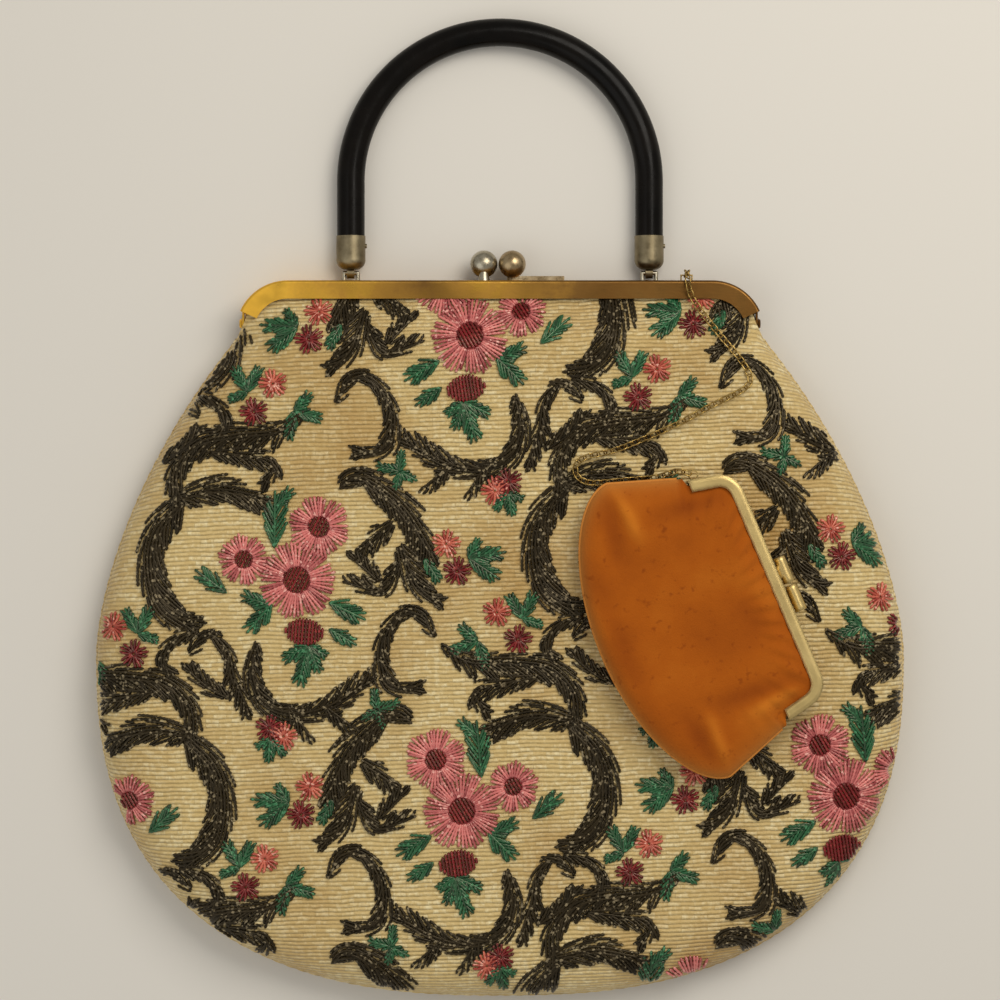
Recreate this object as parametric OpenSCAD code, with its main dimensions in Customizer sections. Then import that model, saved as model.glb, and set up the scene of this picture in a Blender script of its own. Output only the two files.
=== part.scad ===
// Beaded carpet bag lying on its back, its coin purse resting on the front on a chain.
// Millimetres, +Z up from the table, +Y towards the handle.

/* [Bag body] */
// Width of the bag at its widest line
bag_w = 324; // [290:1:360]
// Length from the bottom edge to the top edge of the frame
bag_len = 287; // [270:1:310]
// Height of the widest line above the bottom edge
hip_rise = 137; // [120:1:155]
// Fullness of the lower corners, where 2 is an ellipse
base_full = 2.5; // [2:0.1:3]
// Fullness of the shoulders, where 2 is an ellipse
shoulder_full = 1.6; // [1.4:0.1:2]
// Height of the front panel over the table
bag_thick = 27; // [25:0.5:34]
// Width of the rounded margin round both panels
margin_w = 26; // [22:1:32]
// Thickness of the embroidered cloth
cloth_t = 1.6; // [1.2:0.1:2]
// Thickness of the lining
lining_t = 0.8; // [0.6:0.1:1]
// Gap between cloth and lining
lining_gap = 0.3; // [0.2:0.05:0.5]
// How far the lining stops short of the cloth's edge
lining_inset = 8; // [6:0.5:12]

/* [Beadwork] */
// Height of the flowers and leaves over the cloth
bead_t = 0.8; // [0.5:0.1:1.2]
// Height of the raised scrolls and leaf veins over the cloth
strand_t = 1.3; // [1:0.1:1.5]
// Distance between two leaflets of a scroll
leaflet_pitch = 10; // [9.5:0.5:14]
// Gap between two kinds of beads
bead_gap = 0.4; // [0.3:0.05:0.8]
// Width of one repeat along a row
repeat_w = 153; // [140:1:170]
// Height of one repeat, two rows
repeat_h = 189; // [170:1:200]
// Tilt of the rows to the bag
row_tilt = 2.2; // [-5:0.1:5]
// Sideways shift from one row to the next
row_shift = 1.6; // [0:0.1:4]
// Size of the motif against its drawing
motif_size = 1; // [0.9:0.05:1.1]
// Sideways place of the upper motif
motif_x = -12; // [-30:1:30]
// Distance of the upper motif below the frame's top edge
motif_drop = 22.2; // [10:0.2:60]

/* [Bag frame] */
// Width of the frame over its legs
frame_w = 212; // [190:1:230]
// Outer radius of the frame's corners
frame_r = 21; // [16:1:24]
// Height of the frame's front face
face_h = 7.4; // [6:0.2:9]
// Height of the frame's inner lip
lip_h = 3.6; // [3:0.2:5]
// Depth of one frame half
frame_depth = 9.4; // [8.8:0.2:11]
// Thickness of the frame's sheet brass
sheet_t = 0.8; // [0.6:0.1:1]
// Rounding of the frame's outer edge
frame_edge_r = 1.2; // [0.8:0.1:1.6]
// Gap between the two frame halves when shut
frame_gap = 0.3; // [0.3:0.05:0.6]
// Height of the frame's back over the table
frame_lift = 0.45; // [0.2:0.05:1]
// Depth of the hinge below the frame's top edge
hinge_drop = 17; // [15:0.5:22]
// How far the cloth's edge lies inside the frame's outer edge
cloth_tuck = 3; // [2.4:0.2:4]
// Depth of the cloth's edge below the face of its frame half
cloth_sink = 3.1; // [2.6:0.1:4]
// Radius of the cord that holds the cloth in the channel
cord_r = 1.5; // [1:0.1:1.7]

/* [Bag hinges] */
// Radius of a hinge ear
ear_r = 3.2; // [2.8:0.1:4]
// Radius of a hinge rivet's shank
rivet_r = 1.2; // [0.9:0.1:1.6]
// Radius of a hinge rivet's head
rivet_head_r = 2.2; // [1.9:0.1:2.8]
// Thickness of a hinge rivet's head
rivet_head_t = 0.9; // [0.6:0.1:1.4]
// Running clearance of a pin in its hole
run_gap = 0.06; // [0.03:0.01:0.1]
// Gap between pieces that move past each other
side_gap = 0.35; // [0.3:0.05:0.6]

/* [Kiss lock] */
// Diameter of a clasp ball
ball_d = 11; // [9:0.2:13]
// Gap between the two balls
ball_gap = 0.4; // [0.3:0.05:1]
// Height of a ball's middle over the frame
ball_rise = 7; // [6:0.1:8]
// Radius of a ball's post at its foot
post_r = 2.4; // [1.8:0.1:3]
// Length of the flat arm under the second ball
arm_len = 21; // [14:0.5:28]
// Height of the arm over the frame
arm_h = 2.2; // [1.4:0.1:3]
// Depth of the arm
arm_w = 4.6; // [3:0.1:5.5]

/* [Handle] */
// Distance from the frame's top edge to the top of the handle
handle_reach = 106.4; // [90:0.2:130]
// Distance between the two legs' middles
handle_w = 120.4; // [104:0.2:140]
// Diameter of the handle's tube
tube_d = 11.2; // [9.6:0.2:11.2]
// Diameter of the spigot inside a ferrule
spigot_d = 9.8; // [8:0.2:10]
// Depth of the spigot in a ferrule
spigot_len = 8; // [6:0.5:9]
// Diameter of a ferrule
ferrule_d = 11.8; // [11.4:0.1:13]
// Length of a ferrule
ferrule_len = 13.6; // [12:0.2:16]
// Rounding of a ferrule's lower end
ferrule_round = 3.8; // [2.5:0.1:4]
// Height of the handle's pivot over the frame
pivot_rise = 3.6; // [3.2:0.1:5]
// Radius of the staple's wire
staple_r = 0.9; // [0.7:0.05:1]
// Radius of the handle's eye
eye_r = 2.2; // [2:0.1:2.8]
// Thickness of the handle's eye
eye_t = 3; // [2:0.1:4]
// Radius of a ferrule's cross pin
pin_r = 0.9; // [0.6:0.1:1.2]

/* [Chain] */
// Thickness of a link's wire
wire_d = 0.6; // [0.5:0.05:0.65]
// Distance from link to link
link_pitch = 2.8; // [2.7:0.05:3.2]
// Width of a link
link_w = 3.2; // [3.1:0.1:3.6]
// Play between two links
link_play = 0.28; // [0.24:0.02:0.34]

/* [Coin purse] */
// Sideways place of the purse's hinge line
purse_x = 91.5; // [84:0.5:100]
// Place of the purse's hinge line along the bag
purse_y = -38.5; // [-50:0.5:-30]
// Turn of the purse on the bag
purse_turn = -67; // [-80:0.5:-55]
// Width of the purse between its pointed corners
purse_w = 125; // [118:1:136]
// Drop of the pointed corners below the hinge line
purse_corner_drop = 27; // [22:1:32]
// Depth of the pouch below the hinge line
purse_drop = 55; // [48:1:62]
// Thickness of the filled pouch
purse_thick = 16; // [14:0.5:22]
// Width of the pouch's rounded margin
purse_margin = 15; // [12:0.5:18]
// Thickness of the purse's suede
suede_t = 1; // [0.8:0.1:1.4]
// Width of the purse's frame between its hinges
purse_frame_w = 104; // [96:1:112]
// Height of the purse's frame over its hinges
purse_frame_h = 21.5; // [19:0.5:25]
// Outer radius of the purse frame's corners
purse_frame_r = 10; // [8:0.5:12]
// Slope of the purse frame's legs
purse_leg_turn = 78; // [70:1:84]
// Height of the purse frame's face
purse_face_h = 4.8; // [4:0.2:6]
// Depth of one purse frame half
purse_depth = 5; // [4.4:0.1:6]
// Height of the purse frame's inner lip
purse_lip_h = 2.2; // [1.8:0.1:3]
// Thickness of the purse frame's sheet
purse_sheet_t = 0.7; // [0.5:0.05:0.8]
// Depth of the suede's edge below the face of its frame half
suede_sink = 1.6; // [1.4:0.1:2]
// Radius of a purse hinge ear
purse_ear_r = 2.4; // [2:0.1:3]
// Radius of a purse rivet's shank
purse_rivet_r = 0.9; // [0.6:0.05:1.1]
// Diameter of a clasp barrel
barrel_d = 4.8; // [4:0.1:5.6]
// Length of a clasp barrel
barrel_len = 10.8; // [9:0.2:12]
// Gap between the two barrels
barrel_gap = 1.2; // [0.6:0.1:2]

/* [Hidden] */
$fn = 96;
bottom_y = -(bag_len + handle_reach) / 2;
top_y = bottom_y + bag_len;
hip_y = bottom_y + hip_rise;
hinge_y = top_y - hinge_drop;
split_z = frame_lift + frame_depth + frame_gap / 2;
hip_x = bag_w / 2;
margin = margin_w / hip_x;
pivot_y = top_y + pivot_rise;
pivot_z = ferrule_d / 2;
ball_x = (ball_d + ball_gap) / 2;
rim_z = frame_depth + frame_gap / 2 - cloth_sink;
crown = bag_thick - split_z;
leg_y = hinge_y + ear_r + side_gap + 1.2;
field_z = bag_thick + bead_t;
purse_split = field_z + bead_t + purse_thick / 2;

// A smooth curve through given points, s runs from 0 to 1.
function at_end(p, i) =
    i < 0 ? 2 * p[0] - p[1] :
    i >= len(p) ? 2 * p[len(p) - 1] - p[len(p) - 2] : p[i];
function along(p, s) =
    let (n = len(p) - 1, i = min(floor(s * n), n - 1), t = s * n - i)
    let (a = at_end(p, i - 1), b = p[i], c = p[i + 1], d = at_end(p, i + 2))
    0.5 * (2 * b + (c - a) * t + (2 * a - 5 * b + 4 * c - d) * t * t
        + (3 * b - a - 3 * c + d) * t * t * t);
function heading(p, s) = along(p, min(1, s + 0.01)) - along(p, max(0, s - 0.01));
function flip(points) = [for (i = [len(points) - 1:-1:0]) points[i]];

// A rim is a list of x, y and grip: grip 1 is held flat in a frame, grip 0 is a side seam.
function mirrored(half) = concat(half,
    [for (i = [len(half) - 2:-1:1]) [-half[i][0], half[i][1], half[i][2]]]);
function oval(t, a, b, n) = [a * pow(cos(t), 2 / n), b * pow(sin(t), 2 / n)];

// Half of the bag's rim, from the middle of the mouth to the middle of the bottom.
shoulder_x = frame_w / 2 + 1;
shoulder_y = hinge_y - ear_r - 5;
shoulder_b = (shoulder_y - hip_y)
    / pow(1 - pow(shoulder_x / hip_x, shoulder_full), 1 / shoulder_full);
shoulder_t = asin(pow((shoulder_y - hip_y) / shoulder_b, shoulder_full / 2));
corner_x = frame_w / 2 - frame_r;
corner_y = top_y - frame_r;
tuck_r = frame_r - cloth_tuck;
bag_half = concat(
    [for (k = [0:3]) [corner_x * k / 4, top_y - cloth_tuck, 1]],
    [for (a = [90, 65, 40, 15]) [corner_x + tuck_r * cos(a), corner_y + tuck_r * sin(a), 1]],
    [for (k = [0:6]) let (p = oval(shoulder_t * (1 - k / 7), hip_x, shoulder_b, shoulder_full))
        [p[0], hip_y + p[1], 0]],
    [for (t = [0:9:90]) let (p = oval(t, hip_x, hip_rise, base_full)) [p[0], hip_y - p[1], 0]]
);
bag_rim = mirrored(bag_half);

// Half of the purse's rim in its own frame, hinge line at y 0.
purse_inner_r = purse_frame_r - 2;
purse_hinge_x = purse_frame_w / 2;
purse_leg_x = purse_hinge_x - leg_run(purse_frame_h, purse_frame_r, purse_leg_turn);
purse_half = concat(
    [for (k = [0:2]) [purse_leg_x * k / 3, purse_frame_h - 2, 1]],
    [for (a = [90, 60, 90 - purse_leg_turn]) [purse_leg_x + purse_inner_r * cos(a),
        purse_frame_h - purse_frame_r + purse_inner_r * sin(a), 1]],
    // The suede comes out below the leg, passes over the hinge and runs straight to the corner.
    [[purse_hinge_x - 3.2, 3.6, 1], [purse_hinge_x - 2.8, 2.1, 1], [purse_hinge_x + 0.9, 1, 1]],
    [for (k = [1:3]) [purse_hinge_x + 0.9 + (purse_w / 2 - purse_hinge_x - 0.9) * k / 3,
        1 - (purse_corner_drop + 1) * k / 3, 0]],
    [for (k = [1:7]) let (t = 6 + 12 * k) [purse_w / 2 * cos(t),
        -purse_corner_drop - (purse_drop - purse_corner_drop) * pow(sin(t), 1.1), 0]]
);
purse_rim = mirrored(purse_half);

// Run of a frame leg sideways from the corner's middle to the hinge.
function leg_run(h, r, turn) =
    r * sin(turn) + (h - r + r * cos(turn)) / tan(turn);

// A point of a soft shell: rim point p, share s of the way up the margin.
function shell_point(p, mid, m, s, z_grip, z_seam, z_top, thick) =
    let (grip = p[2], out = norm([p[0], p[1] - mid]))
    let (run = grip * s + (1 - grip) * (1 - cos(90 * s)))
    let (rise = grip * (1 - cos(180 * s)) / 2 + (1 - grip) * sin(90 * s))
    let (k = (1 - m * run) * (1 - thick * (1 - grip) * (1 - s) / out))
    let (foot = grip * (z_grip - thick) + (1 - grip) * z_seam)
    [p[0] * k, mid + (p[1] - mid) * k, foot + (z_top - thick - foot) * rise];

// A dished shell that rises from its rim to a flat top, thickness inwards.
module soft_shell(rim, mid, m, bands, z_grip, z_seam, z_top, thick) {
    n = len(rim);
    outer = [for (j = [0:bands]) for (p = rim)
        shell_point(p, mid, m, j / bands, z_grip, z_seam, z_top, 0)];
    inner = [for (j = [0:bands]) for (p = rim)
        shell_point(p, mid, m, j / bands, z_grip, z_seam, z_top, thick)];
    base = n * (bands + 1) + 1;
    cap = base - 1;
    skin = [for (j = [0:bands - 1]) for (i = [0:n - 1])
        each [[j * n + i, j * n + (i + 1) % n, (j + 1) * n + (i + 1) % n],
            [j * n + i, (j + 1) * n + (i + 1) % n, (j + 1) * n + i]]];
    edge = [for (i = [0:n - 1])
        each [[i, base + i, base + (i + 1) % n], [i, base + (i + 1) % n, (i + 1) % n]]];
    top = [for (i = [0:n - 1]) [bands * n + i, bands * n + (i + 1) % n, cap]];
    under = [for (f = concat(skin, top)) [f[0] + base, f[2] + base, f[1] + base]];
    polyhedron(
        points = concat(outer, [[0, mid, z_top]], inner, [[0, mid, z_top - thick]]),
        faces = concat(skin, top, edge, under)
    );
}

// The bag's panels: the back is the front turned over, with less rise.
module bag_shell(inset, drop, thick, z_grip, top, bands) {
    k = 1 - inset / hip_x;
    rim = [for (p = bag_rim) [p[0] * k, hip_y + (p[1] - hip_y) * k, p[2]]];
    soft_shell(rim, hip_y, margin, bands, z_grip - drop, 0, top - drop, thick);
}

module front_panel() {
    color([0.72, 0.63, 0.42])
        translate([0, 0, split_z])
            bag_shell(0, 0, cloth_t, rim_z, crown, 5);
}

module back_panel() {
    color([0.70, 0.61, 0.41])
        translate([0, 0, split_z]) mirror([0, 0, 1])
            bag_shell(0, 0, cloth_t, rim_z, split_z, 5);
}

module front_lining() {
    color([0.42, 0.34, 0.22])
        translate([0, 0, split_z])
            bag_shell(lining_inset, cloth_t + lining_gap, lining_t, rim_z, crown, 3);
}

module back_lining() {
    color([0.42, 0.34, 0.22])
        translate([0, 0, split_z]) mirror([0, 0, 1])
            bag_shell(lining_inset, cloth_t + lining_gap, lining_t, rim_z, split_z, 3);
}

// Cross-section of a frame half: x is the depth from the outer edge, y the height from the split.
module channel(face, lip, depth, t, round) {
    difference() {
        union() {
            square([lip, t]);
            square([t, depth]);
            translate([0, depth - t])
                square([face, t]);
        }
        translate([-1, depth - round])
            difference() {
                square([round + 1, round + 1]);
                translate([round + 1, 0])
                    circle(round);
            }
    }
}

// Carries a cross-section round the bag's frame: top bar and two corners.
frame_turn = acos((leg_y - corner_y) / frame_r);

module around_frame(turn) {
    translate([0, top_y, 0]) rotate([90, 0, -90])
        linear_extrude(2 * corner_x, center = true)
            children();
    for (side = [0, 1])
        mirror([side, 0, 0])
            translate([-corner_x, corner_y, 0]) rotate([0, 0, 90])
                rotate_extrude(angle = turn)
                    translate([frame_r, 0]) mirror([1, 0])
                        children();
}

// Hinge ear: a disc about the hinge line with a tab up into the leg.
module ear(x, y, z, t, r, tab_y, tab_z, bore) {
    difference() {
        union() {
            translate([x, y, z]) rotate([0, 90, 0])
                cylinder(r = r, h = t);
            translate([x, y, z + frame_gap / 2])
                cube([t, tab_y - y, tab_z]);
        }
        translate([x - 1, y, z]) rotate([0, 90, 0])
            cylinder(r = bore, h = t + 2);
    }
}

module bag_half_frame(ear_x) {
    translate([0, 0, frame_gap / 2])
        around_frame(frame_turn)
            channel(face_h, lip_h, frame_depth, sheet_t, frame_edge_r);
    for (side = [0, 1])
        mirror([side, 0, 0])
            ear(ear_x, hinge_y, 0, sheet_t, ear_r, leg_y + 0.9, ear_r, rivet_r + run_gap);
}

outer_ear_x = corner_x + frame_r * sin(frame_turn) - sheet_t - 0.5;
inner_ear_x = outer_ear_x - sheet_t - side_gap;

module front_frame() {
    color([0.70, 0.52, 0.20])
        translate([0, 0, split_z])
            bag_half_frame(outer_ear_x);
}

module back_frame() {
    color([0.68, 0.50, 0.19])
        translate([0, 0, split_z]) mirror([0, 0, 1])
            bag_half_frame(inner_ear_x);
}

// Shank with a head outside the outer ear and a head inside the inner ear.
module rivet(y, x_in, x_out, r, head_r, head_t) {
    translate([x_in - head_t, y, 0]) rotate([0, 90, 0])
        cylinder(r = head_r, h = head_t);
    translate([x_in - head_t / 2, y, 0]) rotate([0, 90, 0])
        cylinder(r = r, h = x_out - x_in + head_t);
    translate([x_out, y, 0]) rotate([0, 90, 0])
        cylinder(r1 = head_r, r2 = head_r * 0.7, h = head_t);
}

module frame_rivets() {
    color([0.55, 0.42, 0.20])
        translate([0, 0, split_z])
            for (side = [0, 1])
                mirror([side, 0, 0])
                    rivet(hinge_y, inner_ear_x, outer_ear_x + sheet_t + side_gap,
                        rivet_r, rivet_head_r, rivet_head_t);
}

// Cord that packs the channel behind the cloth.
module channel_cord() {
    around_frame(frame_turn - 12)
        translate([cloth_tuck + 0.2, frame_gap / 2 + sheet_t + side_gap + cord_r])
            circle(cord_r);
}

module front_channel_cord() {
    color([0.55, 0.47, 0.33])
        translate([0, 0, split_z])
            channel_cord();
}

module back_channel_cord() {
    color([0.55, 0.47, 0.33])
        translate([0, 0, split_z]) mirror([0, 0, 1])
            channel_cord();
}

// Ball on a tapered post, the post to one side of the split.
module clasp_ball(post_z) {
    translate([0, top_y + ball_rise, split_z])
        sphere(r = ball_d / 2);
    translate([0, top_y, post_z]) rotate([-90, 0, 0])
        cylinder(r1 = post_r, r2 = post_r * 0.62, h = ball_rise - ball_d * 0.2);
}

module left_ball() {
    color([0.55, 0.51, 0.42])
        translate([-ball_x - 0.8, 0, 0])
            clasp_ball(split_z + frame_gap / 2 + post_r + 0.1);
}

module right_ball() {
    arm_z = split_z - frame_gap / 2 - arm_w - 0.2;
    color([0.55, 0.51, 0.42]) {
        translate([ball_x - 0.8, 0, 0])
            clasp_ball(arm_z + arm_w / 2);
        translate([ball_x - 0.8, top_y, arm_z])
            cube([arm_len, arm_h, arm_w]);
    }
}

// Wire staple standing on the back frame, its bar on the handle's pivot.
module wire_staple(x, rise, half, r, z) {
    for (side = [-1, 1]) {
        translate([x + side * half, top_y, z]) rotate([-90, 0, 0])
            cylinder(r = r, h = rise);
        translate([x + side * half, top_y + rise, z])
            sphere(r = r);
    }
    translate([x - half, top_y + rise, z]) rotate([0, 90, 0])
        cylinder(r = r, h = 2 * half);
}

module handle_staples() {
    color([0.42, 0.38, 0.30])
        for (side = [-1, 1])
            wire_staple(side * handle_w / 2, pivot_rise, eye_t / 2 + side_gap + staple_r, staple_r, pivot_z);
}

// Handle: two straight legs and a half-round arch, with spigots for the ferrules.
arch_y = top_y + handle_reach - tube_d / 2 - handle_w / 2;
ferrule_y = pivot_y + 1.4;
tube_y = ferrule_y + ferrule_len;

module handle_tube() {
    color([0.06, 0.055, 0.05])
        translate([0, 0, pivot_z]) {
            translate([0, arch_y, 0])
                rotate_extrude(angle = 180)
                    translate([handle_w / 2, 0])
                        circle(tube_d / 2);
            for (side = [-1, 1])
                translate([side * handle_w / 2, 0, 0]) rotate([-90, 0, 0]) {
                    translate([0, 0, tube_y])
                        cylinder(r = tube_d / 2, h = arch_y - tube_y);
                    translate([0, 0, tube_y - spigot_len])
                        cylinder(r = spigot_d / 2, h = spigot_len + 1);
                }
        }
}

// Ferrule: a cup with a rounded foot, a cross-pin hole and an eye for the staple.
module ferrule() {
    cup_r = ferrule_d / 2;
    difference() {
        union() {
            rotate([-90, 0, 0])
                translate([0, 0, ferrule_y])
                    rotate_extrude() {
                        square([cup_r - ferrule_round, ferrule_len]);
                        translate([0, ferrule_round])
                            square([cup_r, ferrule_len - ferrule_round]);
                        intersection() {
                            translate([cup_r - ferrule_round, ferrule_round])
                                circle(ferrule_round);
                            square([cup_r, ferrule_round]);
                        }
                    }
            translate([-eye_t / 2, pivot_y, 0]) rotate([0, 90, 0])
                cylinder(r = eye_r, h = eye_t);
            translate([0, pivot_y, 0]) rotate([-90, 0, 0])
                cylinder(r = eye_t / 2, h = 2.4);
        }
        translate([0, ferrule_y + ferrule_len - spigot_len, 0]) rotate([-90, 0, 0])
            cylinder(r = spigot_d / 2 + run_gap, h = spigot_len + 1);
        translate([-eye_t, pivot_y, 0]) rotate([0, 90, 0])
            cylinder(r = staple_r + run_gap, h = 2 * eye_t);
        translate([spigot_d / 2 - 1, ferrule_y + ferrule_len * 0.7, 0]) rotate([0, 90, 0])
            cylinder(r = pin_r + run_gap, h = 3);
    }
}

module left_ferrule() {
    color([0.47, 0.41, 0.29])
        translate([-handle_w / 2, 0, pivot_z])
            ferrule();
}

module right_ferrule() {
    color([0.47, 0.41, 0.29])
        translate([handle_w / 2, 0, pivot_z])
            ferrule();
}

module ferrule_pins() {
    color([0.40, 0.35, 0.25])
        for (side = [-1, 1])
            translate([side * handle_w / 2 + spigot_d / 2 + 0.02, ferrule_y + ferrule_len * 0.7, pivot_z])
                rotate([0, 90, 0])
                    cylinder(r = pin_r, h = ferrule_d / 2 - spigot_d / 2 + 0.5);
}

// One motif of the beadwork, drawn about its largest flower, y up.
// Scrolls: a spine, then half widths along it.
scrolls = [
    [[[-18, 36], [-25, 40], [-36, 33.5], [-45, 24], [-54, 8]], [3, 5.6, 5.2, 5.6, 2]],
    [[[-40, 21], [-34, 17], [-27, 12]], [3, 4.2, 1.2]],
    [[[-42, 13], [-47, -3], [-55, -11]], [3.4, 4.6, 1.4]],
    [[[-41, 6.5], [-35.5, -5], [-28, -4], [-17.5, -0.4]], [2, 2.2, 2.2, 1]],
    [[[-34, -2.5], [-23, 8]], [2.4, 1.2]],
    [[[-54, -25], [-49, -16], [-41, -16], [-34, -24.5], [-32.6, -34], [-35.5, -43], [-45.7, -45.7]],
        [1.6, 2.8, 2.8, 3, 3.9, 3.8, 1.4]],
    [[[16.7, -23.7], [19, -36], [15, -48], [3.7, -53], [-10, -51], [-25.7, -42.5]],
        [1.8, 4.6, 3.6, 3.8, 4.8, 2]],
    [[[6, -50], [-2.8, -63]], [2.4, 0.9]],
    [[[-9, -51], [-20, -60]], [2.4, 0.9]],
    [[[44.5, -28.6], [37, -20.4], [29, -27], [26.5, -38], [21.6, -51]], [1.4, 2.7, 2.7, 2.8, 1.4]],
    [[[28, -46.5], [37, -41], [44.5, -34]], [2, 3.2, 1.2]],
    [[[-6, 66.7], [5.5, 59.5], [22.6, 58], [37, 55], [46, 45], [47, 34.5]], [1.2, 4.8, 5.6, 5, 4.6, 3.6]],
    [[[33, 52], [20, 50], [8, 47], [10.5, 39]], [2, 3.2, 3, 1.4]],
    [[[47, 34], [30, 36.7], [12, 33]], [3.4, 6.2, 1.6]],
    [[[44, 33], [54.5, 21], [57.6, 7.5], [54.5, -8], [44, -17]], [4.2, 7.2, 7.6, 7, 2.2]],
    [[[39, -19], [49, -21.6], [55, -28.5], [53, -34]], [1.6, 2.7, 2.6, 1.2]]
];
// Flowers: place, radius and radius of the heart.
flowers = [[0, 0, 15.5, 5.6], [-9.6, 20.8, 12.4, 4.4], [20.8, 9, 10.2, 3.7]];
// Leaves: foot, tip and half width.
leaves = [
    [[-3.6, -26.2], [-11, -31], 2], [[-3.6, -26.2], [-7.8, -37.6], 2.1],
    [[-3.6, -26.2], [1.2, -42.4], 2.1], [[-3.6, -26.2], [7.2, -31.8], 2],
    [[-12, -20], [-23, -27], 2.4], [[-12.4, -9.4], [-26.9, -17], 3.2],
    [[11, -9.8], [22.8, -5], 2.4], [[10.2, -9], [20.8, -20.4], 2.6],
    [[28, -4.2], [40.4, 5.8], 3], [[8.4, 13], [7.2, 38], 4.6], [[7.6, 29.4], [-0.4, 36.6], 2],
    [[13, -63], [7, -70], 2], [[13, -63], [19, -66], 2], [[13, -63], [14, -72.6], 2],
    [[-68.5, 6], [-73.6, 14], 1.8], [[-68.5, 6], [-84, 8], 2], [[-68.5, 6], [-81, -3], 2],
    [[-51, 6.6], [-57, -3.4], 1.8], [[64, -19], [58, -8], 2], [[64, -19], [69, -8.6], 2],
    [[64, -19], [55.6, -22], 1.8], [[82, -27], [89.6, -20], 2], [[82, -27], [93.6, -31], 2],
    [[82, -27], [79, -39], 2], [[-30, -53], [-29, -44], 1.6], [[-30, -53], [-39.6, -50], 1.8],
    [[-30, -53], [-23, -57], 1.7], [[-30, -53], [-32, -61], 1.7]
];
// Small flowers: place, then 1 for dark red and 0 for coral.
small_flowers = [[7.6, -62, 0], [13, -58.6, 1], [-60, 12, 0], [-64, 1, 1], [74, -16, 0], [66, -27, 1]];
small_reach = 6.2;
bud = [-2.4, -21.4, 7.8, 5];

// Places of the motif: row and column, every second row mirrored and set half a repeat over.
places = [for (row = [0:3]) for (col = [-1:1 + row % 2]) [row, col]];

function motif_at(row, col) =
    let (x = motif_x - row * row_shift + (col - 0.44 * (row % 2)) * repeat_w)
    [x, top_y - motif_drop - row * repeat_h / 2 + x * tan(row_tilt), row % 2];

module all_over() {
    for (p = places) {
        $motif = motif_at(p[0], p[1]);
        translate([$motif[0], $motif[1]]) rotate(row_tilt)
            mirror([$motif[2], 0])
                scale(motif_size)
                    children();
    }
}

// Whether any of some drawn points of the motif being laid comes near the bag.
function shows(points) = len([for (p = points)
    let (x = $motif[0] + motif_size * p[0] * (1 - 2 * $motif[2]), y = $motif[1] + motif_size * p[1])
    if (abs(x) < hip_x - margin_w / 2 && y > bottom_y + margin_w / 2 && y < top_y) p]) > 0;

// Raises the first child on the flat of the front, less the second child.
module on_front(z, height) {
    plateau = [for (p = bag_rim) let (q = shell_point(p, hip_y, margin, 1, 0, 0, 0, 0)) [q[0], q[1]]];
    translate([0, 0, z])
        linear_extrude(height)
            intersection() {
                polygon(plateau);
                difference() {
                    all_over() children(0);
                    if ($children > 1)
                        all_over() children(1);
                }
            }
}

function distances(line, i = 0, d = 0) =
    i >= len(line) - 1 ? [d] : concat([d], distances(line, i + 1, d + norm(line[i + 1] - line[i])));

// An acanthus scroll: pointed leaflets lean ahead in turn on both sides of its spine, with one at its end.
module scroll(spine, widths) {
    n = 6 * (len(spine) - 1);
    line = [for (k = [0:n]) along(spine, k / n)];
    far = distances(line);
    xs = [for (k = [0:n]) [far[k] / far[n], line[k][0]]];
    ys = [for (k = [0:n]) [far[k] / far[n], line[k][1]]];
    fulls = [for (k = [0:len(widths) - 1]) [k / (len(widths) - 1), widths[k] * 1.16]];
    function at(s) = [lookup(s, xs), lookup(s, ys)];
    function ahead(s) = let (d = at(min(1, s + 0.02)) - at(max(0, s - 0.02))) d / norm(d);
    count = max(2, round(far[n] / leaflet_pitch));
    lean = 0.6 * far[n] / count;
    function tooth(s, side) = let (w = lookup(s, fulls), a = ahead(s), out = side * [-a[1], a[0]])
        [at(s) + 0.6 * w * out, at(s) + lean * a + (w + 0.6) * out];
    left = [for (k = [0:count - 1]) each tooth((k + 0.45) / count, 1)];
    right = [for (k = [0:count - 1]) each tooth((k + 0.1) / count, -1)];
    tip = at(1) + (1.6 * lookup(1, fulls) + 2) * ahead(1);
    polygon(concat([at(0)], left, [tip], flip(right)));
}

module blossoms(grow) {
    for (f = flowers)
        if (shows([f]))
            translate([f[0], f[1]])
                polygon([for (a = [0:180 / 14:359])
                    (f[2] * (0.94 + 0.07 * cos(7 * a)) + grow) * [cos(a), sin(a)]]);
}

module small_blossoms(kind, grow) {
    for (f = small_flowers)
        if (f[2] == kind && shows([f]))
            translate([f[0], f[1]])
                polygon([for (a = [0:36:324])
                    ((a % 72 == 0 ? 1 : 0.58) * small_reach + grow) * [cos(a + 29), sin(a + 29)]]);
}

module bud_field(grow) {
    if (shows([bud]))
        translate([bud[0], bud[1]])
            polygon([for (a = [0:30:330]) [(bud[2] + grow) * cos(a), (bud[3] + grow) * sin(a)]]);
}

module leaf(foot, tip, half, grow) {
    ahead = (tip - foot) / norm(tip - foot);
    side = half * [-ahead[1], ahead[0]];
    a = foot - grow * ahead;
    d = tip + grow * ahead - a;
    polygon([a, a + 0.3 * d + side, a + 0.7 * d + 0.75 * side, a + d,
        a + 0.7 * d - 0.75 * side, a + 0.3 * d - side]);
}

module leaf_field(share, grow) {
    for (l = leaves)
        if (shows([l[0], l[1]]))
            leaf(l[0], l[1], share * (0.84 * l[2] + 0.6) + grow, grow);
}

module all_flowers(grow) {
    blossoms(grow);
    bud_field(grow);
    small_blossoms(0, grow);
    small_blossoms(1, grow);
}

module scrollwork() {
    color([0.15, 0.14, 0.13])
        on_front(bag_thick, strand_t) {
            for (s = scrolls)
                if (shows(s[0]))
                    scroll(s[0], s[1]);
            union() {
                all_flowers(bead_gap);
                leaf_field(1, bead_gap);
            }
        }
}

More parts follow.
